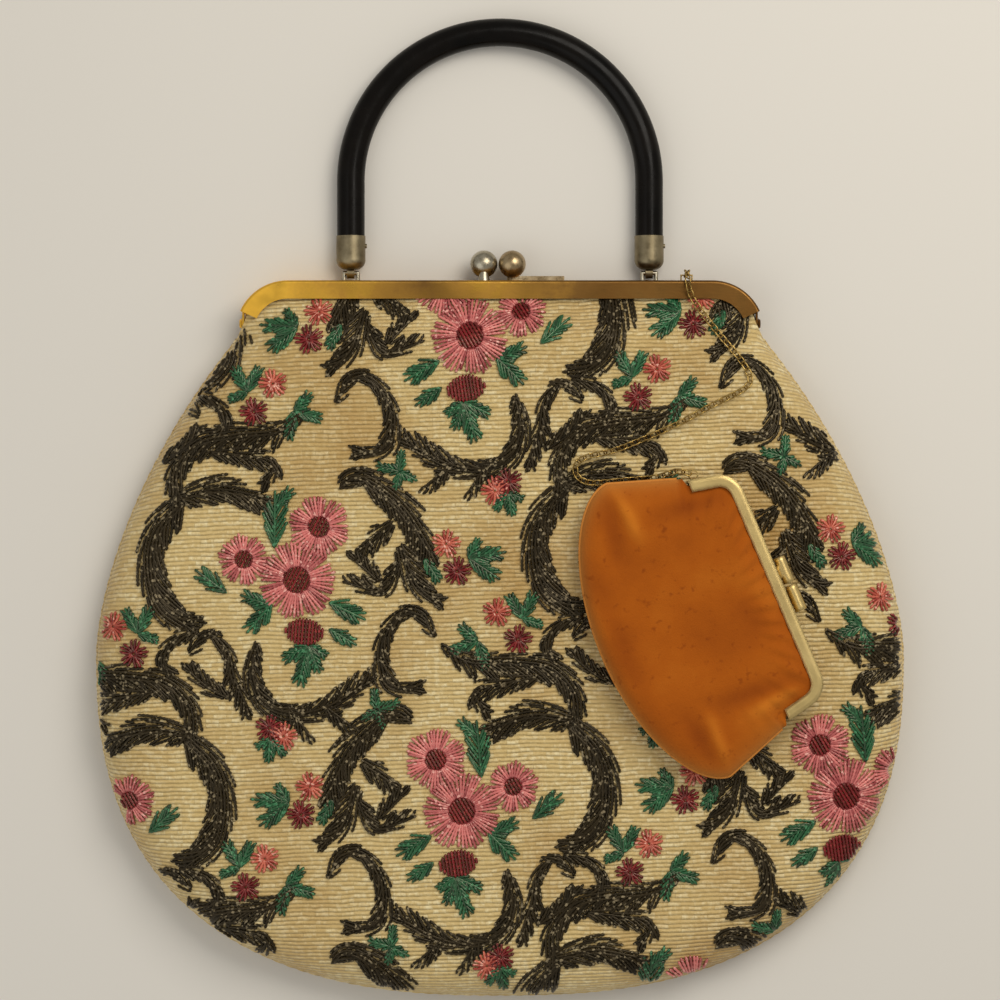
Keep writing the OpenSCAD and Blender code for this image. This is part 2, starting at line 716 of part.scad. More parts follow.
module pink_flowers() {
    color([0.72, 0.33, 0.37])
        on_front(bag_thick, bead_t)
            blossoms(0);
}

module dark_red_beads() {
    color([0.38, 0.04, 0.08]) {
        on_front(bag_thick, bead_t) {
            union() {
                small_blossoms(1, 0);
                bud_field(0);
            }
            union() {
                blossoms(bead_gap);
                small_blossoms(0, bead_gap);
            }
        }
        on_front(field_z, bead_t)
            for (f = flowers)
                if (shows([f]))
                    translate([f[0], f[1]])
                        circle(f[3]);
    }
}

module coral_flowers() {
    color([0.75, 0.28, 0.24])
        on_front(bag_thick, bead_t) {
            small_blossoms(0, 0);
            blossoms(bead_gap);
        }
}

module leaf_sprigs() {
    color([0.10, 0.36, 0.25]) {
        on_front(bag_thick, bead_t) {
            leaf_field(1, 0);
            all_flowers(bead_gap);
        }
        // A raised vein on each leaf.
        on_front(field_z, strand_t - bead_t) {
            leaf_field(0.4, -0.8);
            all_flowers(bead_gap);
        }
    }
}

// Chain from the staple on the front frame, over its top edge and down to the purse.
chain_x = 75;
staple_z = split_z + frame_gap / 2 + 1.8;
hook_run = 0.5;
chain_r = link_w / 2 * 0.71 + wire_d * 0.3;
lay_z = bag_thick + strand_t + chain_r + 0.3;
face_z = split_z + frame_gap / 2 + frame_depth;

module chain_staple() {
    color([0.62, 0.47, 0.20])
        wire_staple(chain_x, 2.4, 2.2, wire_d / 2, staple_z);
}

// A purse point laid out on the bag.
function on_purse(p) = [
    purse_x + p[0] * cos(purse_turn) - p[1] * sin(purse_turn),
    purse_y + p[0] * sin(purse_turn) + p[1] * cos(purse_turn)
];
loop_r = 1.8;
loop_wire = 0.35;
loop_y = 6;
loop_x = -(purse_hinge_x - loop_y / tan(purse_leg_turn) + loop_r);
loop_turn = 50;
loop_at = on_purse([loop_x - (loop_r - hook_run) * cos(loop_turn),
    loop_y - (loop_r - hook_run) * sin(loop_turn)]);
chain_path = [
    [chain_x, top_y + 2.4, staple_z - hook_run],
    [chain_x, top_y + 3.3, split_z + 5.4],
    [chain_x, top_y + 3, face_z - 0.5],
    [chain_x, top_y + 0.6, face_z + 2.6],
    [chain_x + 0.6, top_y - 4, face_z + 2.8],
    [chain_x + 3.4, top_y - 10, face_z + 3.2],
    [chain_x + 12, top_y - 21.5, lay_z - 3.7],
    [chain_x + 20.4, top_y - 31.5, lay_z - 3.4],
    [chain_x + 24.4, top_y - 38.5, lay_z - 2.3],
    [chain_x + 22.5, top_y - 43.5, lay_z - 1],
    [chain_x + 8, top_y - 51, lay_z - 0.1],
    [chain_x - 6, top_y - 58.5, lay_z],
    [chain_x - 26, top_y - 67, lay_z],
    [chain_x - 34, top_y - 69.4, lay_z],
    [chain_x - 40, top_y - 70.7, lay_z],
    [chain_x - 43.8, top_y - 72.6, lay_z],
    [chain_x - 45.3, top_y - 76, lay_z],
    [chain_x - 43.6, top_y - 79.4, lay_z],
    [chain_x - 39.6, top_y - 81.1, lay_z],
    [chain_x - 34, top_y - 81, lay_z],
    [chain_x - 26, top_y - 80.2, lay_z],
    [chain_x - 13, top_y - 79, lay_z],
    [loop_at[0] - 5, loop_at[1] + 1.2, (lay_z + 4 * (purse_split - purse_depth / 2)) / 5],
    [loop_at[0], loop_at[1], purse_split - purse_depth / 2]
];
fine = 10 * (len(chain_path) - 1);
chain_line = [for (i = [0:fine]) along(chain_path, i / fine)];
function walk(s, i = 0) =
    let (d = norm(chain_line[i + 1] - chain_line[i]))
    s <= d || i >= fine - 1
        ? chain_line[i] + (chain_line[i + 1] - chain_line[i]) * s / d
        : walk(s - d, i + 1);
function length_from(i) =
    i >= fine ? 0 : norm(chain_line[i + 1] - chain_line[i]) + length_from(i + 1);
link_count = floor(length_from(0) / link_pitch);
link_step = length_from(0) / link_count;

// One oval link cut from flat wire, its length along x.
function stadium(r, half) = concat(
    [for (a = [-90:30:90]) [half + r * cos(a), r * sin(a)]],
    [for (a = [90:30:270]) [-half + r * cos(a), r * sin(a)]]);

module link() {
    outer_r = link_w / 2;
    inner_r = outer_r - wire_d;
    half = link_pitch / 2 + wire_d + link_play - outer_r;
    linear_extrude(wire_d, center = true)
        polygon(concat(stadium(outer_r, half), stadium(inner_r, half)),
            [[for (i = [0:13]) i], [for (i = [14:27]) i]]);
}

module purse_chain() {
    color([0.72, 0.56, 0.24])
        for (k = [0:link_count - 1]) {
            a = walk(k * link_step);
            b = walk((k + 1) * link_step);
            d = b - a;
            translate((a + b) / 2)
                rotate([k % 2 == 0 ? 45 : -45, -asin(d[2] / norm(d)), atan2(d[1], d[0])])
                    link();
        }
}

// The coin purse is drawn with its hinge line on x and laid on the bag's front.
module lay_purse() {
    translate([purse_x, purse_y, purse_split]) rotate([0, 0, purse_turn])
        children();
}

purse_half_thick = purse_thick / 2;
purse_rim_z = purse_depth + frame_gap / 2 - suede_sink;
purse_mid = -purse_corner_drop * 0.8;
purse_leg_y = purse_ear_r + side_gap;

module purse_shell() {
    soft_shell(purse_rim, purse_mid, purse_margin / (purse_w / 2), 4,
        purse_rim_z, 0, purse_half_thick, suede_t);
}

module purse_front_panel() {
    color([0.72, 0.37, 0.10])
        lay_purse()
            purse_shell();
}

module purse_back_panel() {
    color([0.68, 0.34, 0.09])
        lay_purse() mirror([0, 0, 1])
            purse_shell();
}

// The purse frame's line at a distance inside its outer edge, left foot to right foot.
function purse_line(inset) =
    let (r = purse_frame_r - inset)
    let (bend = [for (k = [0:8]) let (a = 90 - purse_leg_turn * k / 8)
        [purse_leg_x + r * cos(a), purse_frame_h - purse_frame_r + r * sin(a)]])
    let (e = bend[8], run = (e[1] - purse_leg_y) / tan(purse_leg_turn))
    let (right = concat(bend, [[e[0] + run, purse_leg_y]]))
    concat([for (p = flip(right)) [-p[0], p[1]]], right);

module purse_band(width, height) {
    linear_extrude(height)
        polygon(concat(purse_line(0), flip(purse_line(width))));
}

module purse_half_frame(ear_x) {
    translate([0, 0, frame_gap / 2]) {
        purse_band(purse_sheet_t, purse_depth);
        purse_band(purse_lip_h, purse_sheet_t);
        translate([0, 0, purse_depth - purse_sheet_t])
            purse_band(purse_face_h, purse_sheet_t);
    }
    for (side = [0, 1])
        mirror([side, 0, 0])
            ear(ear_x, 0, 0, purse_sheet_t, purse_ear_r, purse_leg_y + 1.2,
                purse_ear_r - 0.6, purse_rivet_r + run_gap);
}

purse_outer_ear = purse_hinge_x - purse_leg_y / tan(purse_leg_turn) - purse_sheet_t - 0.5;
purse_inner_ear = purse_outer_ear - purse_sheet_t - side_gap;

module purse_front_frame() {
    color([0.76, 0.66, 0.40])
        lay_purse()
            purse_half_frame(purse_outer_ear);
}

module purse_back_frame() {
    color([0.74, 0.64, 0.39])
        lay_purse() mirror([0, 0, 1]) {
            purse_half_frame(purse_inner_ear);
            // Loop on the leg for the chain.
            translate([loop_x, loop_y, purse_depth / 2])
                rotate_extrude()
                    translate([loop_r, 0])
                        circle(loop_wire);
        }
}

module purse_rivets() {
    color([0.66, 0.56, 0.33])
        lay_purse()
            for (side = [0, 1])
                mirror([side, 0, 0])
                    rivet(0, purse_inner_ear, purse_outer_ear + purse_sheet_t + side_gap,
                        purse_rivet_r, purse_rivet_r + 0.8, 0.7);
}

// Clasp barrel along the purse frame, on a short foot to one side of the split.
module barrel(side) {
    mid_x = 2 + side * (barrel_len + barrel_gap) / 2;
    y = purse_frame_h + barrel_d / 2 + 0.5;
    translate([mid_x - barrel_len / 2, y, 0]) rotate([0, 90, 0])
        cylinder(r = barrel_d / 2, h = barrel_len);
    translate([mid_x - 2.5, purse_frame_h, side < 0 ? frame_gap / 2 + 0.2 : -frame_gap / 2 - 2])
        cube([5, barrel_d / 2, 1.8]);
}

module purse_front_barrel() {
    color([0.78, 0.70, 0.48])
        lay_purse()
            barrel(-1);
}

module purse_back_barrel() {
    color([0.78, 0.70, 0.48])
        lay_purse()
            barrel(1);
}

back_panel();
front_panel();
back_lining();
front_lining();
back_frame();
front_frame();
frame_rivets();
back_channel_cord();
front_channel_cord();
left_ball();
right_ball();
handle_staples();
handle_tube();
left_ferrule();
right_ferrule();
ferrule_pins();
scrollwork();
pink_flowers();
dark_red_beads();
coral_flowers();
leaf_sprigs();
chain_staple();
purse_chain();
purse_back_panel();
purse_front_panel();
purse_back_frame();
purse_front_frame();
purse_rivets();
purse_back_barrel();
purse_front_barrel();
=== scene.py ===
# Looks of a beaded carpet bag that lies on its back, with its coin purse on its front.
import bpy
import math
import numpy as np
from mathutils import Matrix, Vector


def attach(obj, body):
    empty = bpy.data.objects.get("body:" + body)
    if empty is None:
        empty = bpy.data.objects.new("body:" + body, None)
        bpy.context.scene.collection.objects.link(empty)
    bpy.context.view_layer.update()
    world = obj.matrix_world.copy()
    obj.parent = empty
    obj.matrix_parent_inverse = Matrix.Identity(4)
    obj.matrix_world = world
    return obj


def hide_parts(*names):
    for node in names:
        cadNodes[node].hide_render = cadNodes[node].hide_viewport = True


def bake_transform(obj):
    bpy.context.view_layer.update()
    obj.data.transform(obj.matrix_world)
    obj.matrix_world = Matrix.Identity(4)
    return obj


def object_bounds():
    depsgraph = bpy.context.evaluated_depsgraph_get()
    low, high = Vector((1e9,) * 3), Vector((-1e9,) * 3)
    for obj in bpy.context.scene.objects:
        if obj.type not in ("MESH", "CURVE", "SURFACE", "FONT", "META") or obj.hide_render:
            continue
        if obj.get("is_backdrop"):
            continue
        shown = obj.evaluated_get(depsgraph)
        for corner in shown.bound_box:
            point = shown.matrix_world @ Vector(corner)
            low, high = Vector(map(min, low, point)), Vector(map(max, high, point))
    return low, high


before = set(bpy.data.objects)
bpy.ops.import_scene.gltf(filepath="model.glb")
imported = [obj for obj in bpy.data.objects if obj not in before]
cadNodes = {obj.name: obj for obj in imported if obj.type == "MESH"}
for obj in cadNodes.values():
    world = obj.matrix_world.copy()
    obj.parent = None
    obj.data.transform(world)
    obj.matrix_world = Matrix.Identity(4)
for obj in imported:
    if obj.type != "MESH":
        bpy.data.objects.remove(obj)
cadLow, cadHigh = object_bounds()
mm = 0.001
print("frame loaded with", len(cadNodes), "nodes")


# mesh helpers: all lengths below are in millimetres until a mesh is put in place
def gridFaces(rows, cols, wrap=False, flip=False):
    # four corners of every cell of a rows by cols grid; wrap joins the last column to the first
    i, j = np.meshgrid(np.arange(rows - 1), np.arange(cols if wrap else cols - 1), indexing="ij")
    a, b = i * cols + j, i * cols + (j + 1) % cols
    quads = np.stack([a, b, b + cols, a + cols], -1).reshape(-1, 4)
    return quads[:, ::-1] if flip else quads


def putMesh(name, points, faces, material, values=None):
    # faces is a list of arrays, each with one row of corner numbers per face
    mesh = bpy.data.meshes.new(name)
    corners = np.concatenate([f.ravel() for f in faces]).astype(np.int32)
    sides = np.concatenate([np.full(len(f), f.shape[1]) for f in faces])
    mesh.vertices.add(len(points))
    mesh.vertices.foreach_set("co", (np.asarray(points, float) * mm).ravel())
    mesh.loops.add(len(corners))
    mesh.loops.foreach_set("vertex_index", corners)
    mesh.polygons.add(len(sides))
    mesh.polygons.foreach_set("loop_start", np.r_[0, np.cumsum(sides)[:-1]].astype(np.int32))
    mesh.polygons.foreach_set("use_smooth", np.ones(len(sides), bool))
    for key, data in (values or {}).items():
        mesh.attributes.new(key, "FLOAT", "POINT").data.foreach_set("value", np.asarray(data, np.float32))
    mesh.update(calc_edges=True)
    mesh.validate()
    mesh.materials.append(material)
    piece = bpy.data.objects.new(name, mesh)
    bpy.context.scene.collection.objects.link(piece)
    return piece


def smoothLine(points, count):
    # an even walk along the smooth curve through the points (each span a cubic that leans on its neighbours)
    p = np.asarray(points, float)
    e = np.vstack([2 * p[0] - p[1], p, 2 * p[-1] - p[-2]])
    s = np.linspace(0, len(p) - 1, 24 * (len(p) - 1) + 1)
    i = np.minimum(s.astype(int), len(p) - 2)
    t = (s - i)[:, None]
    a, b, c, d = e[i], e[i + 1], e[i + 2], e[i + 3]
    line = 0.5 * (2 * b + (c - a) * t + (2 * a - 5 * b + 4 * c - d) * t ** 2 + (3 * b - a - 3 * c + d) * t ** 3)
    return evenLine(line, count)


def evenLine(line, count):
    # the same line with its points at even distances
    far = np.r_[0, np.cumsum(np.linalg.norm(np.diff(line, axis=0), axis=1))]
    at = np.linspace(0, far[-1], count)
    return np.stack([np.interp(at, far, line[:, k]) for k in range(line.shape[1])], 1)


def lineLength(line):
    return np.linalg.norm(np.diff(line, axis=0), axis=1).sum()


def unit(vectors):
    # the same directions, each of length one
    return vectors / np.maximum(np.linalg.norm(vectors, axis=1), 1e-9)[:, None]


def openAtGap(line):
    # a closed walk with one gap in it, begun just after the gap
    start = np.argmax(np.linalg.norm(np.diff(np.vstack([line, line[:1]]), axis=0), axis=1)) + 1
    return np.roll(line, -start, 0)


def mirroredRim(half, count):
    # a right half that ends on the middle line, at even steps, and then its mirror image
    half[-1, 0] = 0
    far = np.r_[0, np.cumsum(np.hypot(*np.diff(half[:, :2], axis=0).T))]
    at = np.linspace(0, far[-1], count // 2 + 1)
    half = np.stack([np.interp(at, far, half[:, k]) for k in range(3)], 1)
    return np.vstack([half, half[-2:0:-1] * [-1, 1, 1]])


def ringWalk(marginRings, innerRings, power, hole):
    # each ring's place over the margin, 0 to 1, and then its size on the way to the middle
    share = np.r_[np.linspace(0, 1, marginRings + 1) ** power, np.ones(innerRings)][:, None]
    inner = np.r_[np.ones(marginRings + 1), np.linspace(1, hole, innerRings + 1)[1:]][:, None]
    return share, inner


def closedRings(grid, middleY, up):
    # rings of points joined by faces, with a fan about a middle point inside the last; faces look up or down
    rings, around = grid.shape[:2]
    points = grid.reshape(-1, 3)
    middle = np.array([[0, middleY, points[-around:, 2].mean()]])
    last = np.arange(around) + (rings - 1) * around
    cap = np.stack([last, np.roll(last, -1), np.full(around, len(points))], 1)
    quads = gridFaces(rings, around, True)
    if up > 0:
        quads, cap = quads[:, ::-1], cap[:, ::-1]
    return np.vstack([points, middle]), [quads, cap]


def ripple(x, y, seed, size):
    # soft unevenness from -1 to 1: the mean of seven waves in different directions
    rng = np.random.default_rng(seed)
    turn, phase = rng.uniform(0, 2 * np.pi, (2, 7))
    near = rng.uniform(0.6, 1.5, 7) * 2 * np.pi / size
    waves = [np.sin((x * np.cos(a) + y * np.sin(a)) * k + p) for a, p, k in zip(turn, phase, near)]
    return np.mean(waves, axis=0) * 1.6


# finishes
def startFinish(name, color=(0.8, 0.8, 0.8), rough=0.5, metal=0.0, **sockets):
    material = bpy.data.materials.new(name)
    material.use_nodes = True
    shader = material.node_tree.nodes["Principled BSDF"]
    shader.inputs["Base Color"].default_value = (*color, 1)
    shader.inputs["Roughness"].default_value = rough
    shader.inputs["Metallic"].default_value = metal
    for key, value in sockets.items():
        shader.inputs[key.replace("_", " ")].default_value = value
    return material, material.node_tree, shader


def node(tree, kind, inputs=None, **settings):
    made = tree.nodes.new("ShaderNode" + kind)
    for key, value in settings.items():
        setattr(made, key, value)
    for key, value in (inputs or {}).items():
        if isinstance(value, bpy.types.NodeSocket):
            tree.links.new(value, made.inputs[key])
        else:
            made.inputs[key].default_value = value
    return made


def objectPlace(tree, scale=(1, 1, 1)):
    place = node(tree, "TexCoord").outputs["Object"]
    return node(tree, "Mapping", {"Vector": place, "Scale": scale}).outputs["Vector"]


def painted(tree, key):
    # a value that the mesh carries at each point
    return node(tree, "Attribute", attribute_name=key).outputs["Fac"]


def noise(tree, place, scale, detail=3.0, rough=0.55):
    inputs = {"Vector": place, "Scale": scale, "Detail": detail, "Roughness": rough}
    return node(tree, "TexNoise", inputs).outputs["Fac"]


def ramp(tree, amount, stops):
    made = node(tree, "ValToRGB", {"Fac": amount})
    bar = made.color_ramp.elements
    while len(bar) < len(stops):
        bar.new(0.5)
    for spot, (at, color) in zip(bar, stops):
        spot.position = at
        spot.color = (*color, 1)
    return made.outputs["Color"]


def blendColor(tree, amount, a, b, mode="MIX"):
    made = node(tree, "Mix", data_type="RGBA", blend_type=mode)
    for at, value in ((0, amount), (6, a), (7, b)):
        if isinstance(value, bpy.types.NodeSocket):
            tree.links.new(value, made.inputs[at])
        else:
            made.inputs[at].default_value = value if at == 0 else (*value, 1)
    return made.outputs[2]


def level(tree, amount, low, high, fromLow=0.0, fromHigh=1.0):
    inputs = {"Value": amount, "From Min": fromLow, "From Max": fromHigh, "To Min": low, "To Max": high}
    return node(tree, "MapRange", inputs).outputs["Result"]


def math2(tree, how, a, b):
    return node(tree, "Math", {0: a, 1: b}, operation=how).outputs["Value"]


def bump(tree, shader, height, deep, strength=1.0, normal=None):
    made = node(tree, "Bump", {"Height": height, "Distance": deep, "Strength": strength})
    if normal:
        tree.links.new(normal, made.inputs["Normal"])
    tree.links.new(made.outputs["Normal"], shader.inputs["Normal"])


# grooveShade: painted shade colour for the grooves between rows
groundLook = dict(pale=(0.70, 0.52, 0.215), warm=(0.60, 0.42, 0.15), grooveShade=(0.15, 0.08, 0.018),
                  # glint: painted highlight colour for the brightest stitches
                  glint=(0.92, 0.79, 0.46), stain=(0.62, 0.46, 0.24), stitch=5.2, rib=1.7, tilt=-1.6, deep=0.00055)


def groundFinish():
    # close rows of cream stitches: grooves between rows with painted shade in them, each stitch in its own shade,
    # stains, and a painted highlight on the brightest ones in places
    look = groundLook
    material, tree, shader = startFinish("beadedGround", rough=0.5, Sheen_Weight=0.1)
    flatX, flatY = [painted(tree, key) for key in ("flatX", "flatY")]  # place on the cloth laid flat, in mm
    flat = node(tree, "CombineXYZ", {0: flatX, 1: flatY}).outputs[0]
    place = node(tree, "Mapping", {"Vector": flat, "Rotation": (0, 0, math.radians(look["tilt"]))}).outputs[0]
    along = node(tree, "Mapping", {"Vector": place, "Scale": (0.26, 1, 1)}).outputs[0]
    wander = level(tree, noise(tree, place, 0.05, 3.0), -1.1, 1.1)
    shifted = node(tree, "VectorMath", {0: place, 1: node(tree, "CombineXYZ", {"Y": wander}).outputs[0]}).outputs[0]
    y = node(tree, "SeparateXYZ", {0: shifted}).outputs["Y"]
    swing = node(tree, "Math", {0: math2(tree, "MULTIPLY", y, math.pi / look["rib"])}, operation="SINE").outputs[0]
    rib = node(tree, "Math", {0: swing}, operation="ABSOLUTE").outputs[0]
    rows = {"Vector": shifted, "Color1": (0, 0, 0, 1), "Color2": (1, 1, 1, 1), "Mortar": (0.2, 0.2, 0.2, 1),
            "Scale": 1.0, "Mortar Size": 0.12, "Mortar Smooth": 1.0, "Brick Width": look["stitch"],
            "Row Height": look["rib"]}
    shade = node(tree, "TexBrick", rows, offset=0.41, offset_frequency=3).outputs["Color"]
    cloud = level(tree, noise(tree, place, 0.5, 3.0), -0.15, 0.95)
    tone = math2(tree, "ADD", math2(tree, "MULTIPLY", shade, 0.32), cloud)
    # painted highlight: where stitch shade and cloud run highest, the colour goes to the glint colour
    color = ramp(tree, tone, [(0.1, look["warm"]), (0.55, look["pale"]), (0.95, look["glint"])])
    stain = level(tree, noise(tree, place, 0.014, 3.0), 0.0, 0.8, 0.45, 0.72)
    color = blendColor(tree, stain, color, look["stain"], "MULTIPLY")
    dashes = level(tree, noise(tree, along, 0.55, 2.0), 0.0, 1.0, 0.36, 0.6)
    patchy = math2(tree, "MULTIPLY", level(tree, noise(tree, place, 0.09, 3.0), 0.2, 0.8), dashes)
    # painted shade: the grooves between rows are darkened, in broken dashes
    grooveShadeMask = math2(tree, "MULTIPLY", level(tree, rib, 1.0, 0.0, 0.02, 0.36), patchy)
    color = blendColor(tree, grooveShadeMask, color, look["grooveShade"])
    tree.links.new(color, shader.inputs["Base Color"])
    tree.links.new(level(tree, shade, 0.55, 0.36), shader.inputs["Roughness"])
    height = math2(tree, "ADD", rib, math2(tree, "MULTIPLY", shade, 0.5))
    height = math2(tree, "ADD", height, level(tree, noise(tree, place, 1.6, 2.0), 0.0, 0.7))
    bump(tree, shader, height, look["deep"], 0.9)
    return material


def beadFinish(name, dark, pale, glint, rough=0.24, coat=0.3, gloss=0.5):
    # glass beads with a clear gloss: each strand has its own shade, from its random tint and a painted lightening where
    # it rises, and some beads get a painted glint in their colour
    sockets = dict(Coat_Weight=coat, Coat_Roughness=0.12, Specular_IOR_Level=gloss)
    material, tree, shader = startFinish(name, rough=rough, **sockets)
    shader.inputs["Specular Tint"].default_value = (1.0, 0.84, 0.6, 1)
    # this value carries painted light: paler where a strand rises off the cloth
    tintAndRaisedLight = painted(tree, "tintAndRaisedLight")
    cloud = noise(tree, objectPlace(tree), 900.0, 2.0)
    shade = math2(tree, "ADD", math2(tree, "MULTIPLY", tintAndRaisedLight, 0.75), level(tree, cloud, -0.15, 0.4))
    inMillimetres = objectPlace(tree, (1000, 1000, 1000))
    # painted highlights: random cells of about a millimetre take the glint colour
    cells = node(tree, "TexVoronoi", {"Vector": inMillimetres, "Scale": 1.1}).outputs["Color"]
    lit = level(tree, node(tree, "SeparateColor", {0: cells}).outputs[0], 0.0, 1.0, 0.87, 0.96)
    color = blendColor(tree, lit, ramp(tree, shade, [(0.15, dark), (0.85, pale)]), glint)
    tree.links.new(color, shader.inputs["Base Color"])
    return material


def metalFinish(name, stops, rough=(0.25, 0.5), across=False, wear=30.0, rolledEdge=0.0):
    # old plating: colour by cloudy wear, or by wear and place; fine scratches, uneven gloss, rolled edges
    material, tree, shader = startFinish(name, metal=1.0)
    place = objectPlace(tree)
    cloud = noise(tree, place, wear, 5.0, 0.65)
    if across:
        x = node(tree, "SeparateXYZ", {0: place}).outputs["X"]
        patchy = level(tree, cloud, -0.25, 0.25, 0.25, 0.75)
        cloud = math2(tree, "ADD", level(tree, x, 0.05, 0.8, -0.11, 0.11), patchy)
    tree.links.new(ramp(tree, cloud, stops), shader.inputs["Base Color"])
    tree.links.new(level(tree, noise(tree, place, wear * 4, 4.0), *rough, 0.3, 0.7), shader.inputs["Roughness"])
    scratch = noise(tree, objectPlace(tree, (120, 900, 900)), 2.0, 3.0)
    normal = node(tree, "Bevel", {"Radius": rolledEdge}, samples=8).outputs["Normal"] if rolledEdge else None
    bump(tree, shader, scratch, 0.00006, 0.35, normal)
    return material


def glossBlackFinish():
    # cast black tube: near black with brown depth, thin handling scratches and a clear gloss
    sockets = dict(Coat_Weight=0.02, Coat_Roughness=0.1, Specular_IOR_Level=0.1)
    material, tree, shader = startFinish("glossBlack", rough=0.2, **sockets)
    place = objectPlace(tree)
    cloud = noise(tree, place, 45.0, 4.0)
    color = ramp(tree, cloud, [(0.3, (0.0016, 0.0014, 0.001)), (0.8, (0.007, 0.005, 0.0035))])
    tree.links.new(color, shader.inputs["Base Color"])
    tree.links.new(level(tree, noise(tree, place, 160.0, 4.0), 0.2, 0.36, 0.35, 0.7), shader.inputs["Roughness"])
    bump(tree, shader, noise(tree, objectPlace(tree, (1, 0.3, 1)), 300.0, 3.0), 0.00005, 0.3)
    return material


suedeLook = dict(dark=(0.23, 0.045, 0.003), mid=(0.385, 0.09, 0.005), pale=(0.53, 0.155, 0.012),
                 edge=(0.60, 0.235, 0.045))


def suedeFinish():
    # brushed suede: cloudy nap with darker rubbed spots, painted light on its ridges and painted shade in its furrows,
    # paler near its seams, fine grain
    look = suedeLook
    sockets = dict(Sheen_Weight=0.05, Sheen_Roughness=0.6, Specular_IOR_Level=0.1)
    material, tree, shader = startFinish("orangeSuede", rough=0.9, **sockets)
    shader.inputs["Sheen Tint"].default_value = (1.0, 0.62, 0.3, 1)
    place = objectPlace(tree)
    cloud = noise(tree, place, 42.0, 4.0, 0.6)
    foldShading = level(tree, painted(tree, "foldShading"), -0.5, 0.5)  # painted light and shade: lighter on ridges, darker in furrows
    nap = math2(tree, "ADD", level(tree, cloud, 0.22, 0.78), foldShading)
    color = ramp(tree, nap, [(0.1, look["dark"]), (0.5, look["mid"]), (0.9, look["pale"])])
    color = blendColor(tree, painted(tree, "edge"), color, look["edge"])
    spots = level(tree, noise(tree, place, 300.0, 2.0), 0.0, 0.75, 0.62, 0.78)
    color = blendColor(tree, spots, color, look["dark"])
    tree.links.new(color, shader.inputs["Base Color"])
    grain = level(tree, noise(tree, place, 190.0, 3.0), 0.0, 1.4)
    grain = math2(tree, "ADD", noise(tree, place, 1500.0, 3.0), grain)
    bump(tree, shader, grain, 0.00035, 0.6)
    return material


def plainWeave(name, dark, pale):
    # close plain weave: two crossed sets of threads
    material, tree, shader = startFinish(name, rough=0.85)
    place = objectPlace(tree, (100, 100, 100))
    threads = {"Vector": place, "Scale": 4.0, "Distortion": 0.6}
    weft, warp = [node(tree, "TexWave", threads, bands_direction=way).outputs["Fac"] for way in "XY"]
    both = math2(tree, "MULTIPLY", weft, warp)
    tree.links.new(ramp(tree, both, [(0.1, dark), (0.8, pale)]), shader.inputs["Base Color"])
    bump(tree, shader, both, 0.0002, 0.5)
    return material


ground = groundFinish()
beadLook = dict(  # dark, pale and painted glint colour; black has its own roughness, coat and gloss
    black=((0.006, 0.0042, 0.0016), (0.026, 0.018, 0.0075), (0.26, 0.21, 0.125), 0.3, 0.0, 0.35),
    pink=((0.20, 0.012, 0.024), (0.74, 0.22, 0.2), (0.84, 0.42, 0.36)),
    red=((0.06, 0.0015, 0.003), (0.2, 0.006, 0.012), (0.32, 0.03, 0.03)),
    coral=((0.26, 0.018, 0.014), (0.66, 0.16, 0.1), (0.8, 0.4, 0.3)),
    green=((0.0025, 0.024, 0.009), (0.018, 0.12, 0.046), (0.06, 0.24, 0.11)),
)
beadNames = dict(black="blackBeads", pink="pinkBeads", red="darkRedBeads", coral="coralBeads", green="greenBeads")
finishes = {key: beadFinish(beadNames[key], *look) for key, look in beadLook.items()}
metalLook = dict(  # colours from least to most, and the range of roughness
    frameGilt=([(0.1, (0.9, 0.52, 0.065)), (0.3, (0.44, 0.235, 0.042)), (0.55, (0.175, 0.09, 0.024)),
                (0.95, (0.1, 0.038, 0.008))], (0.26, 0.5)),
    warmNickel=([(0.25, (0.22, 0.15, 0.07)), (0.5, (0.40, 0.30, 0.17)), (0.75, (0.55, 0.45, 0.29))], (0.22, 0.44)),
    agedNickel=([(0.25, (0.20, 0.165, 0.105)), (0.5, (0.40, 0.36, 0.27)), (0.75, (0.58, 0.54, 0.44))], (0.2, 0.42)),
    ferruleBrass=([(0.3, (0.13, 0.10, 0.055)), (0.55, (0.26, 0.215, 0.13)), (0.75, (0.38, 0.32, 0.2))], (0.32, 0.55)),
    chainGilt=([(0.3, (0.26, 0.16, 0.04)), (0.7, (0.56, 0.39, 0.13))], (0.2, 0.4)),
    purseGilt=([(0.3, (0.60, 0.44, 0.18)), (0.5, (0.66, 0.495, 0.205)), (0.75, (0.71, 0.54, 0.24))], (0.3, 0.4)),
)
frameGold = metalFinish("frameGilt", *metalLook["frameGilt"], across=True)
warmNickel = metalFinish("warmNickel", *metalLook["warmNickel"], wear=160.0)
agedNickel = metalFinish("agedNickel", *metalLook["agedNickel"], wear=160.0)
ferruleBrass = metalFinish("ferruleBrass", *metalLook["ferruleBrass"], wear=120.0)
chainGold = metalFinish("chainGilt", *metalLook["chainGilt"], wear=200.0)
purseGold = metalFinish("purseGilt", *metalLook["purseGilt"], rolledEdge=0.0024)
glossBlack = glossBlackFinish()
suede = suedeFinish()
liningWeave = plainWeave("liningWeave", (0.10, 0.07, 0.035), (0.26, 0.19, 0.10))
paperCord = plainWeave("paperCord", (0.16, 0.12, 0.07), (0.36, 0.28, 0.18))

